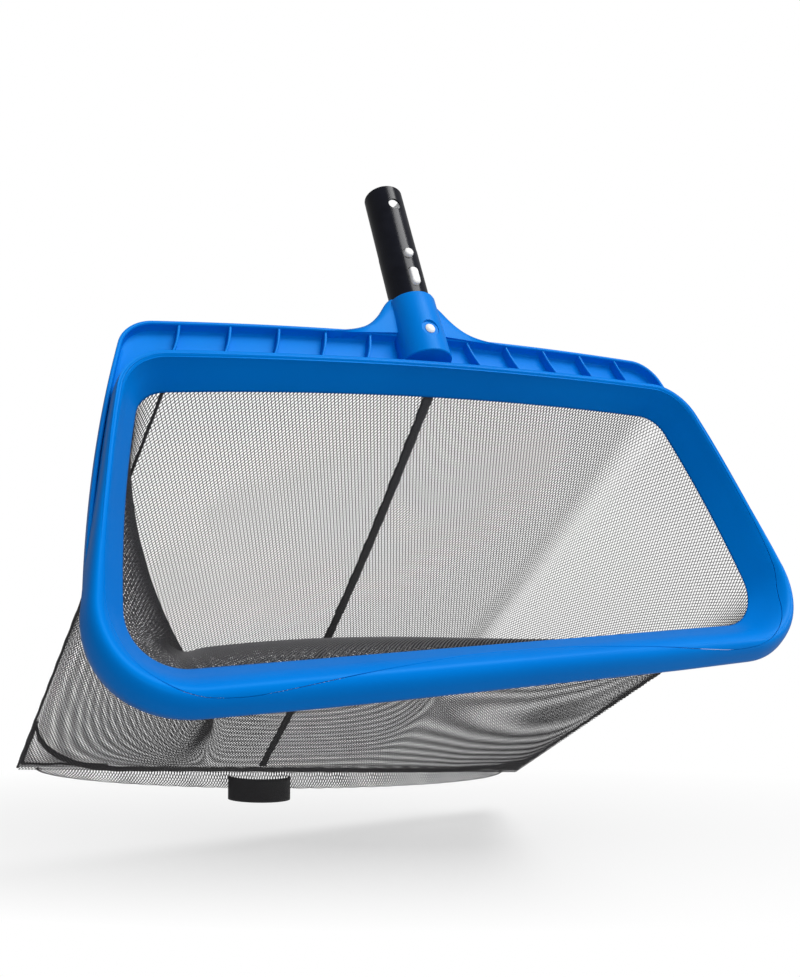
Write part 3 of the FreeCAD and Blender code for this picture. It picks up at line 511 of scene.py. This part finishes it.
flange_columns = np.arange(-FLANGE_END_COLUMN, FLANGE_END_COLUMN + 1) % COLUMNS
rim_line = on_section(1.0)[:, :2]
inner_edge = rim_line - mouth_outward * 1.5
wall_inner = flange_edge(-FRAME_WALL)
flange_rows = [
    level(inner_edge, 0.0),
    level(inner_edge * 0.5 + flange_edge(-1.0) * 0.5, 0.0),
    level(flange_edge(-0.5), 0.0),
    level(flange_edge(0), 0.5),
    level(flange_edge(0), FLANGE_TOP * 0.5),
    level(flange_edge(0), FLANGE_TOP - 0.7),
    level(flange_edge(-0.25), FLANGE_TOP - 0.2),
    level(flange_edge(-0.8), FLANGE_TOP),
    level(flange_edge(0.6 - FRAME_WALL), FLANGE_TOP - 0.15),
    level(wall_inner, FLANGE_TOP - 0.8),
    level(wall_inner, FLANGE_WEB + 2.2),
    level(flange_edge(-FRAME_WALL - 0.7), FLANGE_WEB + 0.7),
    level(flange_edge(-FRAME_WALL - 2.2), FLANGE_WEB),
    level(inner_edge * 0.5 + wall_inner * 0.5, FLANGE_WEB),
    level(inner_edge, FLANGE_WEB),
]
flange_rows = [row[flange_columns] for row in flange_rows]
flange = grid_piece("flange", flange_rows, closed_along=True, caps=True)

# Ten thin ribs across the flange, each a little curved.
RIB_TOP = 9.0
RIB_HALF = 0.9
RIB_FOOT_HALF = 1.5
RIB_FOOT = 1.2
RIB_FIRST = 38.0
RIB_SPACING = 32.8
RIB_SLANT = 13.0
RIB_BOW = 2.2
RIM_MARGIN = 12.0
ribs = []
for side in (-1, 1):
    for number in range(5):
        outer_x = RIB_FIRST + number * RIB_SPACING
        inner_x = outer_x + RIB_SLANT
        outer_y = FLANGE_HANDLE + HANDLE_BOW * (1 - (outer_x / FLANGE_HALF) ** 2) - FRAME_WALL / 2
        inner_y = MOUTH_LENGTH + HANDLE_BOW * (1 - (inner_x / HANDLE_HALF) ** 2) + RIM_MARGIN
        rib_sections = []
        for share in np.linspace(0, 1, 9):
            bow = RIB_BOW * math.sin(math.pi * share)
            x = side * (outer_x + (inner_x - outer_x) * share - bow)
            y = outer_y + (inner_y - outer_y) * share
            rib_sections.append([
                (x - RIB_FOOT_HALF, y, RIB_FOOT), (x - RIB_HALF, y, FLANGE_WEB + 1.0),
                (x - RIB_HALF, y, RIB_TOP - 0.5), (x - RIB_HALF * 0.5, y, RIB_TOP),
                (x + RIB_HALF * 0.5, y, RIB_TOP), (x + RIB_HALF, y, RIB_TOP - 0.5),
                (x + RIB_HALF, y, FLANGE_WEB + 1.0), (x + RIB_FOOT_HALF, y, RIB_FOOT),
            ])
        ribs.append(grid_piece(f"rib_{side}_{number}", rib_sections, closed_round=True, caps=True))

# The socket: a collar on the tube's axis. Its profile is radius and place along the tube from the tip.
COLLAR_RADIUS = 17.5
COLLAR_BORE = 14.65
COLLAR_MOUTH = -100.0
COLLAR_END = -150.6
collar_profile = (
    (COLLAR_BORE, -146.2), (COLLAR_BORE, -120.0), (COLLAR_BORE, COLLAR_MOUTH - 0.8),
    (COLLAR_BORE + 0.5, COLLAR_MOUTH), (COLLAR_RADIUS - 1.2, COLLAR_MOUTH),
    (COLLAR_RADIUS - 0.3, COLLAR_MOUTH - 0.4), (COLLAR_RADIUS, COLLAR_MOUTH - 1.4),
    (COLLAR_RADIUS + 0.3, -120.0), (COLLAR_RADIUS + 0.8, -135.0), (COLLAR_RADIUS + 1.2, COLLAR_END + 0.6),
    (COLLAR_RADIUS + 0.6, COLLAR_END), (1.0, COLLAR_END),
)
TURNS = np.linspace(0, 2 * math.pi, 73)[:-1]
collar_rows = [
    [(radius * math.cos(turn), radius * math.sin(turn), along) for turn in TURNS]
    for radius, along in collar_profile
]
collar = grid_piece("collar", collar_rows, closed_round=True, caps=True, place=HANDLE)

# Each gusset is a web that sweeps from the collar's mouth down to the flange in one hollow curve.
GUSSET_TOP = 12.0
GUSSET_STEPS = 28
gusset_curve = np.array((
    (16.0, 256.0), (18.4, 254.5), (21.0, 251.5), (24.0, 247.5), (27.0, 243.0), (31.0, 238.2),
    (36.0, 233.6), (42.0, 230.0), (50.0, 227.4), (60.0, 225.9), (72.0, 224.8),
))
gussets = []
for side in (-1, 1):
    stops = np.linspace(0, len(gusset_curve) - 1, GUSSET_STEPS)
    columns = [np.interp(stops, np.arange(len(gusset_curve)), gusset_curve[:, axis]) for axis in (0, 1)]
    edge = np.column_stack((side * columns[0], columns[1]))
    for _ in range(3):
        edge[1:-1] = (edge[:-2] + edge[1:-1] * 2 + edge[2:]) / 4
    share = np.linspace(0, 1, GUSSET_STEPS)
    heel = np.column_stack((side * (10.0 + 58.0 * share), 226.0 - 3.5 * share))
    step = np.gradient(edge, axis=0)
    step /= np.linalg.norm(step, axis=1)[:, None]
    inward = np.column_stack((step[:, 1], -step[:, 0])) * side
    top_edge = GUSSET_TOP - share**1.5 * (GUSSET_TOP - FLANGE_TOP)
    gusset_rows = [
        np.column_stack((heel, np.zeros(GUSSET_STEPS))),
        np.column_stack((edge, np.zeros(GUSSET_STEPS))),
        np.column_stack((edge, top_edge - 2.2)),
        np.column_stack((edge + inward * 0.6, top_edge - 0.8)),
        np.column_stack((edge + inward * 2.0, top_edge)),
        np.column_stack((edge * 0.6 + heel * 0.4 + inward * 1.2, top_edge + 0.6)),
        np.column_stack((heel, top_edge - 0.4)),
    ]
    gussets.append(grid_piece(f"gusset_{side}", gusset_rows, closed_along=True, caps=True))

# A round recess at the front and at the back of the collar, where the rivet's ends sit.
RIVET_ALONG = -132.0
SPOT_DEPTH = 16.5
CUTTER_DEPTH = 6.0
for side, word in ((-1, "front"), (1, "rear")):
    cutter_shape = bmesh.new()
    cutter_place = Matrix.Translation((0, side * (SPOT_DEPTH + CUTTER_DEPTH / 2), RIVET_ALONG))
    cutter_turn = Matrix.Rotation(-side * math.pi / 2, 4, "X")
    bmesh.ops.create_cone(
        cutter_shape, cap_ends=True, segments=48, radius1=6.4, radius2=7.4, depth=CUTTER_DEPTH,
        matrix=cutter_place @ cutter_turn,
    )
    cutter = finish_mesh("cutter_" + word, cutter_shape, HANDLE)
    cut = collar.modifiers.new("recess", "BOOLEAN")
    cut.operation = "DIFFERENCE"
    cut.solver = "EXACT"
    cut.object = cutter
    applied(collar)
    bpy.data.objects.remove(cutter)

frame_piece = joined("frame_shell", [lip, seat_wall, flange, collar] + ribs + gussets)
frame_piece.data.materials.clear()
frame_piece.data.materials.append(blue)
frame_piece.data.shade_smooth()
frame_piece.data.set_sharp_from_angle(angle=math.radians(38))
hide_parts("frame_moulding")
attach(frame_piece, "frame")


# The tube
# Black anodised aluminium tube, 28.6 mm across, bare and bright inside, drawn slightly smaller where
# it goes into the pole. Its mesh is the CAD model's.
INNER_WALL = 13.1
anodised, nodes, links, shader = new_paint("black_anodised", (0.006, 0.007, 0.011), 0.20)
shader.inputs["Specular IOR Level"].default_value = 0.18
place = mottled(nodes, links, shader, (0.0045, 0.005, 0.009), (0.009, 0.010, 0.016), 60.0)
fine_bump(nodes, links, shader, place, 1500.0, 0.04, 0.0001)
axis_turn = nodes.new("ShaderNodeMapping")
axis_turn.inputs["Rotation"].default_value = HANDLE.to_euler()
axis_turn.vector_type = "TEXTURE"
flatten = nodes.new("ShaderNodeVectorMath")
flatten.operation = "MULTIPLY"
flatten.inputs[1].default_value = (1, 1, 0)
from_axis = nodes.new("ShaderNodeVectorMath")
from_axis.operation = "LENGTH"
inside = nodes.new("ShaderNodeMath")
inside.operation = "LESS_THAN"
inside.inputs[1].default_value = INNER_WALL * MM
bare = nodes.new("ShaderNodeBsdfPrincipled")
bare.inputs["Base Color"].default_value = (0.86, 0.87, 0.88, 1)
bare.inputs["Roughness"].default_value = 0.5
bare.inputs["Metallic"].default_value = 0.3
either = nodes.new("ShaderNodeMixShader")
links.new(place.outputs["Object"], axis_turn.inputs["Vector"])
links.new(axis_turn.outputs["Vector"], flatten.inputs[0])
links.new(flatten.outputs["Vector"], from_axis.inputs[0])
links.new(from_axis.outputs["Value"], inside.inputs[0])
links.new(inside.outputs[0], either.inputs["Fac"])
links.new(shader.outputs[0], either.inputs[1])
links.new(bare.outputs[0], either.inputs[2])
links.new(either.outputs[0], nodes["Material Output"].inputs["Surface"])
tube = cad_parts["tube"]
tube.data.materials.clear()
tube.data.materials.append(anodised)


# The spring clip
# White nylon inside the tube: a bridge held by the rivet, and two springy legs that carry the round
# lock pins and the long finger tabs, which stand out of the tube's wall.
nylon, nodes, links, shader = new_paint("white_nylon", (0.80, 0.80, 0.79), 0.42)
place = mottled(nodes, links, shader, (0.76, 0.76, 0.75), (0.84, 0.84, 0.83), 120.0)
fine_bump(nodes, links, shader, place, 1800.0, 0.08, 0.0001)
for name in ("clip_bridge", "rivet_washer"):
    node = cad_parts[name]
    node.data.materials.clear()
    node.data.materials.append(nylon)

PIN_OUT = 17.0
PIN_ALONG = -64.0
PIN_WIDTH = 7.0
TAB_ALONG = -85.0
TAB_WIDTH = 6.4
TAB_LENGTH = 15.0
LEG_FACE = 11.3
LEG_THICKNESS = 2.4
LEG_HALF = 4.5
LEG_EDGE = 0.4
LEG_ROOT = -123.0
ROOT_OUT = 6.5
ROOT_RADIUS = 1.7


def domed_stub(name, outline_points, base, top, side):
    """A stub that stands out along y with a domed end, round the given outline of x and z."""
    rows = []
    middle = np.mean(outline_points, axis=0)
    dome = ((1, base), (1, top - 1.3), (0.95, top - 0.7), (0.8, top - 0.25), (0.45, top), (0.1, top + 0.05))
    for share, height in dome:
        ring = middle + (outline_points - middle) * share
        rows.append(np.column_stack((ring[:, 0], np.full(len(ring), side * height), ring[:, 1])))
    return grid_piece(name, rows, closed_round=True, caps=True, place=HANDLE)


def slot_points(centre, width, length):
    points = []
    for turn in np.linspace(0, 2 * math.pi, 32, endpoint=False):
        lift = (length - width) / 2 * (1 if math.sin(turn) >= 0 else -1)
        points.append((width / 2 * math.cos(turn), centre + lift + width / 2 * math.sin(turn)))
    return np.array(points)


for side, word in ((-1, "front"), (1, "rear")):
    strip_rows = []
    inner, outer = LEG_FACE - LEG_THICKNESS, LEG_FACE
    for z, low, high in (
        (LEG_ROOT, 5.3, 7.7), (-116.0, 6.3, 8.7), (-98.0, inner, outer), (-80.0, inner, outer),
        (-58.5, inner, outer), (-57.2, inner + 0.5, outer - 0.5),
    ):
        near, far = side * (low + LEG_EDGE), side * (high - LEG_EDGE)
        strip_rows.append([
            (-4.2, side * low, z), (4.2, side * low, z), (LEG_HALF, near, z), (LEG_HALF, far, z),
            (4.2, side * high, z), (-4.2, side * high, z), (-LEG_HALF, far, z), (-LEG_HALF, near, z),
        ])
    strip = grid_piece("strip_" + word, strip_rows, closed_round=True, caps=True, place=HANDLE)
    root_rows = [
        [(x, side * ROOT_OUT + ROOT_RADIUS * math.cos(turn), LEG_ROOT + ROOT_RADIUS * math.sin(turn))
         for turn in TURNS[::6]]
        for x in (-LEG_HALF, LEG_HALF)
    ]
    root = grid_piece("root_" + word, root_rows, closed_round=True, caps=True, place=HANDLE)
    pin_outline = slot_points(PIN_ALONG, PIN_WIDTH, PIN_WIDTH)
    tab_outline = slot_points(TAB_ALONG, TAB_WIDTH, TAB_LENGTH)
    pin = domed_stub("pin_" + word, pin_outline, LEG_FACE - 1, PIN_OUT, side)
    tab = domed_stub("tab_" + word, tab_outline, LEG_FACE - 1, PIN_OUT, side)
    leg = joined(f"lock_leg_{word}", [strip, root, pin, tab])
    leg.data.shade_smooth()
    leg.data.set_sharp_from_angle(angle=SHARP_ANGLE)
    leg.data.materials.clear()
    leg.data.materials.append(nylon)
    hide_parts(f"clip_leg_{word}")
    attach(leg, f"{word}_leg")


# The rivet
# A white nylon rivet right through the socket, the tube and the clip, with a domed head in front and
# a washer behind. Its profile is radius and distance out of the tube's front.
rivet_profile = (
    (0.1, 18.4), (1.6, 18.25), (2.9, 17.75), (3.6, 17.0), (3.6, 16.5), (2.5, 16.4), (2.5, -17.4),
    (3.6, -17.5), (3.6, -18.2), (2.6, -18.9), (0.1, -19.1),
)
rivet_rows = [
    [(radius * math.cos(turn), -out, RIVET_ALONG + radius * math.sin(turn)) for turn in TURNS[::2]]
    for radius, out in rivet_profile
]
rivet = grid_piece("rivet", rivet_rows, closed_round=True, caps=True, place=HANDLE)
rivet.data.materials.append(nylon)
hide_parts("socket_rivet")
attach(rivet, "frame")


# The bag's cloth
# Black knitted netting: a pillowcase of two panels sewn together down both sides and round the far
# end. It is turned in the mouth, so one seam starts beside the handle and the other at the leading
# corner opposite.
black_yarn, nodes, links, shader = new_paint("black_yarn", (0.022, 0.020, 0.024), 0.62)
mottled(nodes, links, shader, (0.015, 0.014, 0.017), (0.034, 0.031, 0.037), 260.0)
shader.inputs["Sheen Weight"].default_value = 0.25
shader.inputs["Sheen Roughness"].default_value = 0.5

BAG_LENGTH = 430.0
BAG_END_HALF = 251.0
BAG_END_MIDDLE = np.array((13.0, 38.5, -BAG_LENGTH))
BAG_END_TURN = math.radians(-7.6)
BAG_END_ALONG = np.array((math.cos(BAG_END_TURN), math.sin(BAG_END_TURN), 0))
CORNER_CUT = 88.0
SEAM_ALLOWANCE = 20.0
UPPER_SLACK = 10.0
LOWER_BULGE = 52.0
BULGE_SKEW = 0.85
PANEL_APART = 1.2
HEM_OUT = 2.6
RIM_REACH = 12.0
hem_line = mouth_edge + mouth_outward * HEM_OUT
LEFT_SEAM_COLUMN = COLUMNS - HALF_COUNTS[0]
from_left_seam = np.roll(hem_line, -LEFT_SEAM_COLUMN, axis=0)
rim_steps = np.linalg.norm(from_left_seam - np.roll(from_left_seam, 1, axis=0), axis=1)
rim_run = np.concatenate(((0,), np.cumsum(np.roll(rim_steps, -1))))
RIM_LENGTH = rim_run[-1]
PANEL_HALF = RIM_LENGTH / 4


def rim_point(run):
    """Points on the hem's line at a distance round the mouth, clockwise from the left seam."""
    run = np.mod(run, RIM_LENGTH)
    closed = np.vstack((from_left_seam, from_left_seam[:1]))
    return np.column_stack((np.interp(run, rim_run, closed[:, 0]), np.interp(run, rim_run, closed[:, 1])))


def corner_share(across):
    cut = CORNER_CUT / BAG_END_HALF
    into = np.clip(np.abs(across) - (1 - cut), 0, None) / cut
    return CORNER_CUT / BAG_LENGTH * (1 - np.sqrt(np.clip(1 - into**2, 0, None)))


def bag_surface(side, across, share, lift=0.0):
    """Points of a panel: across runs from -1 to 1 and share from 0 at the mouth to 1 at the far end."""
    turn = 1 if side == "upper" else -1
    run = (across + 1) * PANEL_HALF * turn
    start = rim_point(run)
    step = (rim_point(run + RIM_REACH * turn) - rim_point(run - RIM_REACH * turn)) * turn
    inward = np.column_stack((step[:, 1], -step[:, 0])) / np.linalg.norm(step, axis=1)[:, None]
    start = np.column_stack((start, np.zeros(len(start))))
    end = BAG_END_MIDDLE + BAG_END_ALONG * (np.clip(across, -1, 1) * BAG_END_HALF)[:, None]
    slack_end = 1 - SEAM_ALLOWANCE / BAG_LENGTH
    slack_share = np.clip(share / (1 - corner_share(across)) / slack_end, 0, 1)
    if side == "upper":
        sag = UPPER_SLACK * np.sin(np.pi * slack_share)
    else:
        sag = LOWER_BULGE * np.sin(np.pi * slack_share**BULGE_SKEW)
    points = start + (end - start) * share[:, None]
    points[:, :2] += inward * (sag * (1 - across**2) - lift)[:, None]
    points[:, 1] += turn * PANEL_APART * np.sqrt(np.clip(share, 0, 1))
    return points


# The stitches make offset diamonds 2.6 mm across and 4.7 mm along the bag.
HOLE_ACROSS = 2.6
HOLE_ALONG = 4.7
STRAND_ANGLE = math.atan2(HOLE_ACROSS, HOLE_ALONG)
STRAND_PITCH = HOLE_ACROSS * math.cos(STRAND_ANGLE)
STRAND_WIDTH = 0.37
STRAND_THICKNESS = 0.41
STRAND_STEP = 9.0
STRAND_LIFT = 0.16


def netting(name, near_half, far_half, length, surface):
    """A panel of netting: two families of strands that cross at the knots, cut to the panel.

    The surface gives points for places across, from -1 to 1, and shares along, from 0 to 1."""
    reach = math.hypot(max(near_half, far_half), length / 2) + STRAND_PITCH
    count = int(2 * reach / STRAND_PITCH)
    steps = int(2 * reach / STRAND_STEP)
    net = bmesh.new()
    for family in (-1, 1):
        strands = bmesh.new()
        bmesh.ops.create_grid(strands, x_segments=2 * count - 1, y_segments=steps, size=1.0)
        gaps = []
        for face in strands.faces:
            column = int((face.calc_center_median().x + 1) / 2 * (2 * count - 1))
            if column % 2:
                gaps.append(face)
        bmesh.ops.delete(strands, geom=gaps, context="FACES")
        for vert in strands.verts:
            column = round((vert.co.x + 1) / 2 * (2 * count - 1))
            number, far = divmod(column, 2)
            x = (number - (count - 1) / 2) * STRAND_PITCH + (far - 0.5) * STRAND_WIDTH
            vert.co = (x, vert.co.y * reach, 0.0)
        bmesh.ops.rotate(
            strands, cent=(0, 0, 0), matrix=Matrix.Rotation(family * STRAND_ANGLE, 3, "Z"),
            verts=strands.verts,
        )
        bmesh.ops.translate(strands, vec=(0, length / 2, 0), verts=strands.verts)
        slant = Vector((far_half - near_half, length)).normalized()
        borders = [((turn * near_half, 0, 0), (turn * slant.y, -slant.x, 0)) for turn in (-1, 1)]
        borders += [((0, 0, 0), (0, -1, 0)), ((0, length, 0), (0, 1, 0))]
        for point, normal in borders:
            bmesh.ops.bisect_plane(
                strands, geom=strands.verts[:] + strands.edges[:] + strands.faces[:],
                plane_co=point, plane_no=normal, clear_outer=True,
            )
        part = bpy.data.meshes.new("strands")
        for vert in strands.verts:
            vert.co.z = family * STRAND_LIFT
        strands.to_mesh(part)
        strands.free()
        net.from_mesh(part)
        bpy.data.meshes.remove(part)
    mesh = bpy.data.meshes.new(name)
    net.to_mesh(mesh)
    net.free()
    flat = np.empty(len(mesh.vertices) * 3)
    mesh.vertices.foreach_get("co", flat)
    flat = flat.reshape(-1, 3)
    share = flat[:, 1] / length
    half = near_half + (far_half - near_half) * share
    across = np.clip(flat[:, 0] / half, -1, 1)
    points = surface(across, share, flat[:, 2])
    matrix = np.array(MOUTH)
    points = points @ matrix[:3, :3].T + matrix[:3, 3]
    mesh.vertices.foreach_set("co", points.ravel())
    mesh.update()
    piece = bpy.data.objects.new(name, mesh)
    bpy.context.scene.collection.objects.link(piece)
    wall = piece.modifiers.new("yarn", "SOLIDIFY")
    wall.thickness = STRAND_THICKNESS * MM
    wall.offset = 0.0
    wall.use_even_offset = False
    piece.data.materials.append(black_yarn)
    return piece


def upper_surface(across, share, lift):
    return bag_surface("upper", across, share, lift)


def lower_surface(across, share, lift):
    return bag_surface("lower", across, share, lift)


upper_net = netting("net_upper", PANEL_HALF, BAG_END_HALF, BAG_LENGTH, upper_surface)
lower_net = netting("net_lower", PANEL_HALF, BAG_END_HALF, BAG_LENGTH, lower_surface)
for piece, node in ((upper_net, "bag_upper_panel"), (lower_net, "bag_lower_panel")):
    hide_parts(node)
    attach(piece, "frame")


# The hem and its cord
# The netting's edge is folded over a braided cord, and both are trapped between ring and frame.
woven, nodes, links, shader = new_paint("black_webbing", (0.018, 0.017, 0.020), 0.7)
chart = nodes.new("ShaderNodeUVMap")
chart.uv_map = "chart"
weave = nodes.new("ShaderNodeTexWave")
weave.wave_type = "BANDS"
weave.bands_direction = "DIAGONAL"
weave.inputs["Scale"].default_value = 0.9
weave.inputs["Distortion"].default_value = 1.5
weave_ramp = nodes.new("ShaderNodeValToRGB")
weave_ramp.color_ramp.elements[0].color = (0.008, 0.008, 0.009, 1)
weave_ramp.color_ramp.elements[1].color = (0.036, 0.034, 0.038, 1)
weave_bump = nodes.new("ShaderNodeBump")
weave_bump.inputs["Strength"].default_value = 0.5
weave_bump.inputs["Distance"].default_value = 0.0004
links.new(chart.outputs["UV"], weave.inputs["Vector"])
links.new(weave.outputs["Fac"], weave_ramp.inputs["Fac"])
links.new(weave_ramp.outputs["Color"], shader.inputs["Base Color"])
links.new(weave.outputs["Fac"], weave_bump.inputs["Height"])
links.new(weave_bump.outputs["Normal"], shader.inputs["Normal"])
shader.inputs["Sheen Weight"].default_value = 0.2


def cloth_strip(name, rows, thickness, node):
    strip = thicken(grid_piece(name, rows), thickness, offset=0.0)
    strip.data.materials.append(woven)
    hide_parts(node)
    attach(strip, "frame")
    return strip


HEM_THICKNESS = 0.3
HEM_DEPTH = RING_WALL + 0.4
FOLD_DEPTH = HEM_DEPTH + 0.45
CORD_DEPTH = RING_WALL + 1.1
CORD_RADIUS = 0.6
hem_rows = [on_section(share, HEM_DEPTH) for share in (0.0, 0.05, 0.10, 0.15, 0.20, 0.205)]
hem_rows += [on_section(share, FOLD_DEPTH) for share in (0.20, 0.15, 0.10)]
hem = thicken(grid_piece("folded_hem", hem_rows, closed_round=True), HEM_THICKNESS, offset=0.0)
hem.data.materials.append(woven)
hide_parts("mouth_hem")
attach(hem, "frame")

cord_rows = []
for turn in np.linspace(0, 2 * math.pi, 13)[:-1]:
    cord_share = 0.225 + 0.013 * math.sin(turn)
    cord_rows.append(on_section(cord_share, CORD_DEPTH + CORD_RADIUS * math.cos(turn)))
cord = grid_piece("edge_cord", cord_rows, closed_round=True, closed_along=True)
cord.data.materials.append(woven)
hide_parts("hem_cord")
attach(cord, "frame")


# The side seams
# Each side seam is a rolled double fold. The left one runs from the corner beside the handle, the right
# one from the leading corner opposite, and both end at the end seam.
SEAM_RADIUS = 1.1
SEAM_STEPS = 60
for side, word in ((-1.0, "left"), (1.0, "right")):
    seam_rows = []
    line = bag_surface("upper", np.full(SEAM_STEPS, side), np.linspace(0, 1, SEAM_STEPS))
    for index, centre in enumerate(line):
        wave = 0.35 * math.sin(index * 1.7)
        wide = SEAM_RADIUS + wave * 0.3
        seam_rows.append([
            (centre[0] + wide * math.cos(turn), centre[1] + SEAM_RADIUS * math.sin(turn) + wave, centre[2])
            for turn in TURNS[::9]
        ])
    seam = grid_piece("rolled_seam_" + word, seam_rows, closed_round=True, caps=True)
    seam.data.materials.append(woven)
    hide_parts(f"side_seam_{word}")
    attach(seam, "frame")


# The end seam
# The two panels are sewn together along a curve that rounds the corners off, with the raw edge rolled
# into a flat band.
END_STEPS = 121


def end_line(across, beyond):
    """Points on the curve of the end seam, moved beyond it by some millimetres."""
    share = 1 - corner_share(across) + beyond / BAG_LENGTH
    return (bag_surface("upper", across, share) + bag_surface("lower", across, share)) / 2


seam_across = 0.992 * np.sin(np.linspace(-math.pi / 2, math.pi / 2, END_STEPS))
end_rows = []
for beyond, out in ((-4.5, 0.2), (-3.2, 0.9), (-1.0, 1.0), (1.0, 0.9), (3.2, 1.0), (4.5, 0.2),
                    (3.2, -0.9), (1.0, -1.0), (-1.0, -0.9), (-3.2, -1.0)):
    line = end_line(seam_across, beyond)
    line[:, 1] += out + 0.25 * np.sin(np.arange(END_STEPS) * 1.3)
    end_rows.append(line)
end_seam = grid_piece("end_band", end_rows, closed_along=True, caps=True)
end_seam.data.materials.append(woven)
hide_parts("end_seam")
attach(end_seam, "frame")


# The corner flaps
# Outside the curved seam each square corner of the netting is left as a flat flap, with a folded and
# stitched border.
for side, word in ((-1.0, "left"), (1.0, "right")):
    down = np.column_stack((np.full(14, side * 0.995), np.linspace(0.835, 0.975, 14)))
    turn_in = np.column_stack((side * np.linspace(0.985, 0.70, 22), np.full(22, 0.988)))
    border = np.vstack((down, turn_in))
    middle = bag_surface("upper", border[:, 0], border[:, 1])
    step = np.gradient(middle, axis=0)
    step /= np.linalg.norm(step, axis=1)[:, None]
    flap_rows = []
    for reach, out in ((-2.2, 0.0), (-1.4, 0.7), (1.4, 0.7), (2.2, 0.0), (1.4, -0.7), (-1.4, -0.7)):
        row = middle.copy()
        row[:, 0] += step[:, 2] * reach
        row[:, 2] -= step[:, 0] * reach
        row[:, 1] += out + 0.4 * np.sin(np.arange(len(row)) * 0.9)
        flap_rows.append(row)
    flap = grid_piece("flap_border_" + word, flap_rows, closed_along=True, caps=True)
    flap.data.materials.append(woven)
    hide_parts(f"corner_flap_{word}")
    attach(flap, "frame")


# The centre strap
# Flat webbing sewn inside the upper panel, from the middle of the handle side to a little left of the
# end seam's middle, so it crosses the turned panel at a slant, with a puckered edge.
STRAP_HALF = 3.6
STRAP_STEPS = 110
STRAP_END_ASIDE = 32.0
strap_share = np.linspace(0.0, 0.985, STRAP_STEPS)
handle_middle = rim_run[COLUMNS - LEFT_SEAM_COLUMN] / PANEL_HALF - 1
strap_middle = handle_middle - (handle_middle + STRAP_END_ASIDE / BAG_END_HALF) * strap_share
strap_rows = []
stitches = np.arange(STRAP_STEPS)
pucker = 0.35 * np.sin(stitches * 2.1) + 0.25 * np.sin(stitches * 0.77)
for reach in np.linspace(-STRAP_HALF, STRAP_HALF, 5):
    edge_wave = pucker * reach / STRAP_HALF
    across = strap_middle + (reach + edge_wave) / PANEL_HALF
    strap_rows.append(bag_surface("upper", across, strap_share, -1.5 + 0.3 * pucker))
strap = cloth_strip("strap_down_the_middle", strap_rows, 1.0, "centre_strap")


# The end hem
# The netting's folded edge, which hangs down in ripples from behind the end seam.
row_down = np.array(MOUTH.to_3x3().inverted() @ Vector((0, 0, -1)))
row_down /= np.linalg.norm(row_down)
row_back = np.array(MOUTH.to_3x3().inverted() @ Vector((0, 1, 0)))
row_back /= np.linalg.norm(row_back)
HEM_HALF = 236.0
HEM_DROP = 19.0
HEM_BEHIND = 1.4


def hem_surface(across, share, lift):
    """Two layers of netting in one fold: down at the back and up again at the front."""
    share = np.clip(share, 0, 1)
    top = BAG_END_MIDDLE + BAG_END_ALONG * (across * HEM_HALF)[:, None] + row_back * HEM_BEHIND
    ripple = np.sin(across * 27.0) + 0.7 * np.sin(across * 46.0 + 1.0)
    taper = np.sqrt(np.clip(1 - across**2, 0, 1))
    fall = taper * (HEM_DROP * np.sin(np.pi * share) ** 0.8 + 0.5 * ripple * share)
    out = np.cos(np.pi * share) * 0.7 + ripple * fall / HEM_DROP + lift
    return top + row_down * fall[:, None] + row_back * out[:, None]


end_hem = netting("folded_end_hem", HEM_HALF, HEM_HALF, 2 * HEM_DROP, hem_surface)
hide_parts("end_hem")
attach(end_hem, "frame")


# The pull strap
# A bow of wide webbing in front of the end hem, below the centre strap's end, for turning the bag
# inside out.
PULL_HALF = 31.0
PULL_BOW = 14.0
PULL_WIDTH = 22.0
PULL_CLEARANCE = 4.0
PULL_BEYOND_END = 6.1
PULL_FORWARD = 1.6
pull_middle = BAG_END_MIDDLE - np.array((0, 0, PULL_BEYOND_END)) - row_back * PULL_FORWARD
pull_middle += row_down * (PULL_CLEARANCE + PULL_WIDTH / 2) - BAG_END_ALONG * STRAP_END_ASIDE
pull_reaches = np.linspace(-PULL_WIDTH / 2, PULL_WIDTH / 2, 9)
pull_rows = []
for turn in np.linspace(0, math.pi, 41):
    along = BAG_END_ALONG * math.cos(turn) * (PULL_HALF - 1)
    centre = pull_middle - along - row_back * math.sin(turn) * (PULL_BOW - 1)
    pull_rows.append([centre + row_down * reach for reach in pull_reaches])
pull = cloth_strip("pull_bow", pull_rows, 1.6, "pull_strap")


# The bounds of every shown piece, the floor left out.
low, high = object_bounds()
